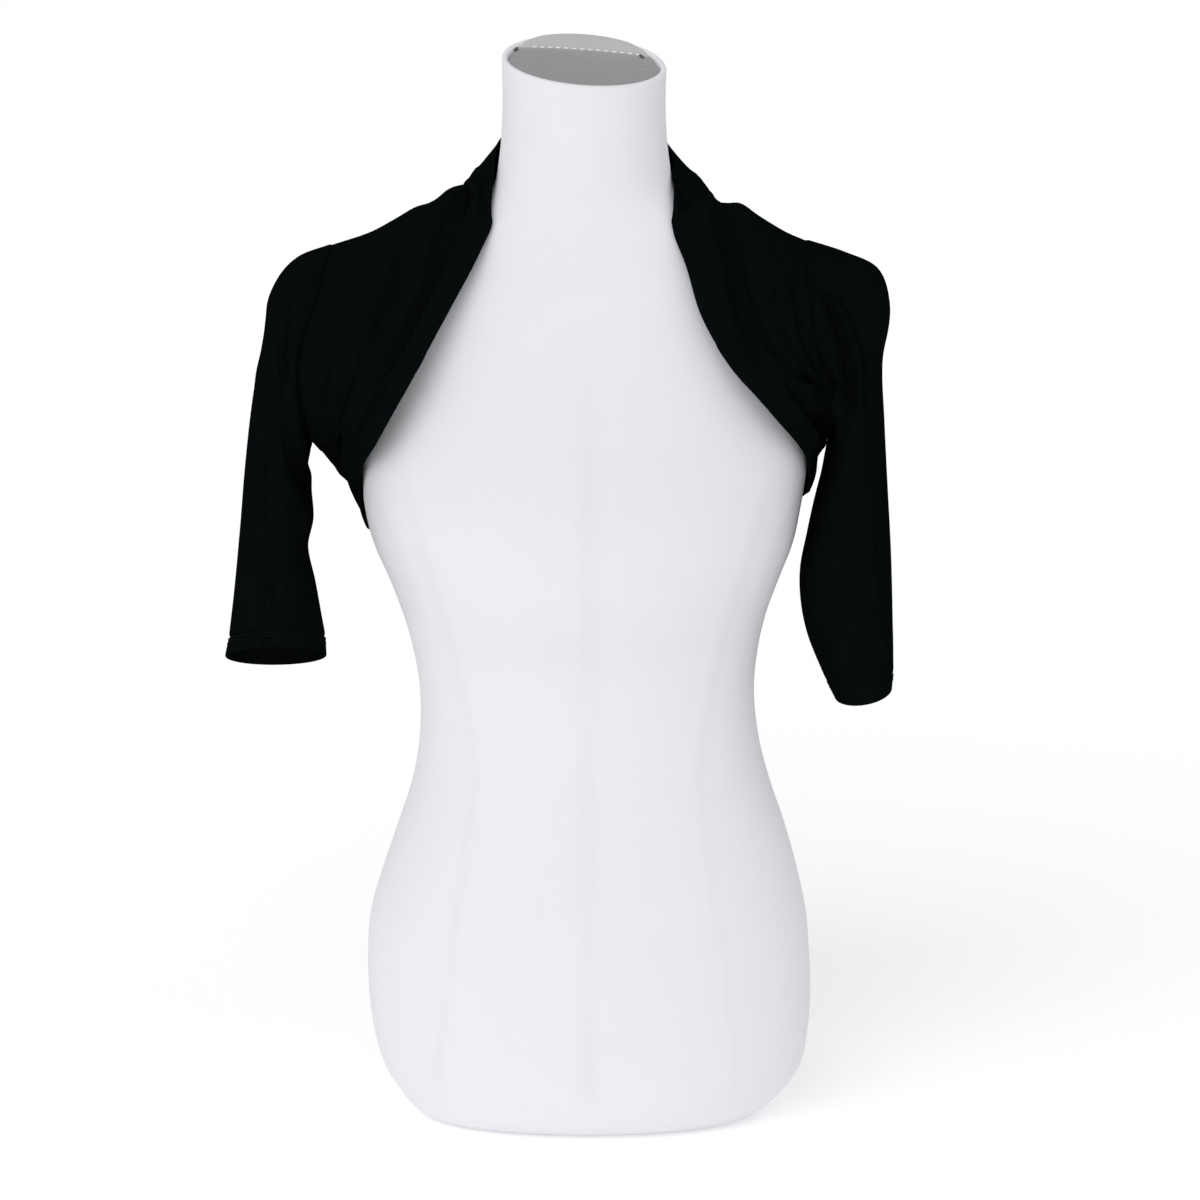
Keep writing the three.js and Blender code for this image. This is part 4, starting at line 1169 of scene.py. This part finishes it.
class SHRUG_OT_neck_cap(bpy.types.Operator):
    """Build the cloth cap in the top of the neck with its stitched seam"""
    bl_idname = "shrug.neck_cap"
    bl_label = "Neck cap"

    def execute(self, context):
        cap = make_cap()
        xs = np.arange(*CAP_STITCHED, CAP_PITCH / CAP_HALF_WIDTH)
        places = cap_point(xs, np.full_like(xs, CAP_SEAM)) * MM
        places[:, 2] += CAP_THREAD_LIFT
        bm = bmesh.new()
        bm.loops.layers.uv.new("cut")
        way = np.tile([1.0, 0, RIM_SLOPE_SIDE], (len(xs), 1))
        out = np.tile([0.0, -RIM_SLOPE_BACK, 1], (len(xs), 1))
        stitch_row(bm, places, (way, out), CAP_STITCH * MM, CAP_THREAD)
        stitches = finish_piece("neck_cap_stitches", bm,
                                thread_material("white_thread", (0.86, 0.86, 0.86)))
        bm = bmesh.new()
        bm.loops.layers.uv.new("cut")
        for x, y, turn in STAPLES:
            place = cap_point(np.array(x), np.array(y)) * MM + np.array([0, 0, STAPLE_LIFT])
            stitch_row(bm, [place], ([(turn, 1, RIM_SLOPE_BACK)], out[:1]),
                       STAPLE_LENGTH, STAPLE_WIRE)
        finish_piece("neck_cap_staples", bm, metal_material())
        return {"FINISHED"}


class SHRUG_OT_panels(bpy.types.Operator):
    """Build the back, the two fronts and the two sleeves"""
    bl_idname = "shrug.panels"
    bl_label = "Panels"

    def execute(self, context):
        for name in PANEL_CUTS:
            make_panel(name)
        return {"FINISHED"}


class SHRUG_OT_bands(bpy.types.Operator):
    """Build the doubled bands round the opening, the neck and the hem, and the cuffs"""
    bl_idname = "shrug.bands"
    bl_label = "Bands and cuffs"

    def execute(self, context):
        for name in BAND_CUTS:
            make_band(name)
        return {"FINISHED"}


class SHRUG_OT_hem_stitches(bpy.types.Operator):
    """Sew two rows of stitches round each sleeve hem"""
    bl_idname = "shrug.hem_stitches"
    bl_label = "Hem stitches"

    def execute(self, context):
        sheets, normals = skin()
        length = context.scene.shrug.stitch
        for side in ("right", "left"):
            grid, ways = sheets[f"cuff_{side}"][0], normals[f"cuff_{side}"]
            bm = bmesh.new()
            bm.loops.layers.uv.new("cut")
            for share in HEM_ROWS:
                row = grid[0] * (1 - share) + grid[-1] * share
                ring = np.vstack([row, row[:1]])
                round_it = np.linalg.norm(np.diff(ring, axis=0), axis=1).sum() * MM
                count = int(round_it / (length * HEM_PITCH))
                line = evenly(ring, count)
                step = np.roll(line[:-1], -1, axis=0) - line[:-1]
                pick = np.linspace(0, len(row) - 1, count).astype(int)
                stitch_row(bm, line[:-1] * MM + ways[1][pick] * HEM_LIFT, (step, ways[1][pick]),
                           length, HEM_THREAD)
            finish_piece(f"cuff_{side}_stitches", bm,
                         thread_material("black_thread", (0.007, 0.0095, 0.0102)))
        return {"FINISHED"}


class SHRUG_OT_declare(bpy.types.Operator):
    """Does nothing: the flat cut of each piece is only listed in the tables above"""
    bl_idname = "shrug.declare"
    bl_label = "Flat cuts"

    def execute(self, context):
        return {"FINISHED"}


class SHRUG_OT_studio(bpy.types.Operator):
    """Build the white floor, the soft lights and the camera"""
    bl_idname = "shrug.studio"
    bl_label = "Studio"

    def execute(self, context):
        studio = context.scene.studio
        bm = bmesh.new()
        bmesh.ops.create_grid(bm, x_segments=1, y_segments=1, size=FLOOR_SIZE)
        mesh = bpy.data.meshes.new("floor")
        bm.to_mesh(mesh)
        bm.free()
        floor = bpy.data.objects.new("floor", mesh)
        context.collection.objects.link(floor)
        mesh.materials.append(floor_material())

        world = bpy.data.worlds.new("studio_sky")
        world.use_nodes = True
        tree = world.node_tree
        lit = tree.nodes["Background"]
        lit.inputs["Color"].default_value = (1, 1, 1, 1)
        lit.inputs["Strength"].default_value = studio.sky
        seen = tree.nodes.new("ShaderNodeBackground")
        seen.inputs["Color"].default_value = (1, 1, 1, 1)
        path = tree.nodes.new("ShaderNodeLightPath")
        both = tree.nodes.new("ShaderNodeMixShader")
        tree.links.new(path.outputs["Is Camera Ray"], both.inputs["Fac"])
        tree.links.new(lit.outputs[0], both.inputs[1])
        tree.links.new(seen.outputs[0], both.inputs[2])
        tree.links.new(both.outputs[0], tree.nodes["World Output"].inputs["Surface"])
        context.scene.world = world

        key = bpy.data.lights.new("key", "SUN")
        key.energy = studio.key
        key.angle = math.radians(KEY_ANGLE)
        key_object = bpy.data.objects.new("key", key)
        key_object.rotation_euler = Vector(KEY_FROM).to_track_quat("Z", "Y").to_euler()
        context.collection.objects.link(key_object)

        camera = bpy.data.cameras.new("camera")
        camera.sensor_width = CAMERA["sensor"]
        camera.lens = CAMERA["lens"]
        camera.shift_x = CAMERA["shift"]
        camera_object = bpy.data.objects.new("camera", camera)
        place = Vector((0, -studio.camera_distance, CAMERA["height"]))
        camera_object.location = place
        way = Vector((0, 0, CAMERA["aim"])) - place
        camera_object.rotation_euler = way.to_track_quat("-Z", "Y").to_euler()
        context.collection.objects.link(camera_object)
        context.scene.camera = camera_object
        context.scene.view_settings.view_transform = "Standard"
        return {"FINISHED"}


class SHRUG_PT_panel(bpy.types.Panel):
    bl_label = "Knitted shrug"
    bl_idname = "SHRUG_PT_panel"
    bl_space_type = "VIEW_3D"
    bl_region_type = "UI"
    bl_category = "Shrug"

    def draw(self, context):
        for settings in (context.scene.shrug, context.scene.dress_form, context.scene.studio):
            box = self.layout.box()
            for name in settings.__annotations__:
                box.prop(settings, name)
        for operator in OPERATORS:
            self.layout.operator(operator.bl_idname)


OPERATORS = (SHRUG_OT_studio, SHRUG_OT_torso, SHRUG_OT_neck_cap, SHRUG_OT_panels,
             SHRUG_OT_bands, SHRUG_OT_hem_stitches, SHRUG_OT_declare)
SETTINGS = {"shrug": ShrugSettings, "dress_form": FormSettings, "studio": StudioSettings}


def register():
    for name, kind in SETTINGS.items():
        bpy.utils.register_class(kind)
        setattr(bpy.types.Scene, name, bpy.props.PointerProperty(type=kind))
    for kind in (*OPERATORS, SHRUG_PT_panel):
        bpy.utils.register_class(kind)


def unregister():
    for kind in reversed((*OPERATORS, SHRUG_PT_panel)):
        bpy.utils.unregister_class(kind)
    for name, kind in SETTINGS.items():
        delattr(bpy.types.Scene, name)
        bpy.utils.unregister_class(kind)


def main():
    register()
    bpy.ops.shrug.studio()
    bpy.ops.shrug.torso()
    bpy.ops.shrug.neck_cap()
    bpy.ops.shrug.panels()
    bpy.ops.shrug.bands()
    bpy.ops.shrug.hem_stitches()
    bpy.ops.shrug.declare()


if __name__ == "__main__":
    main()
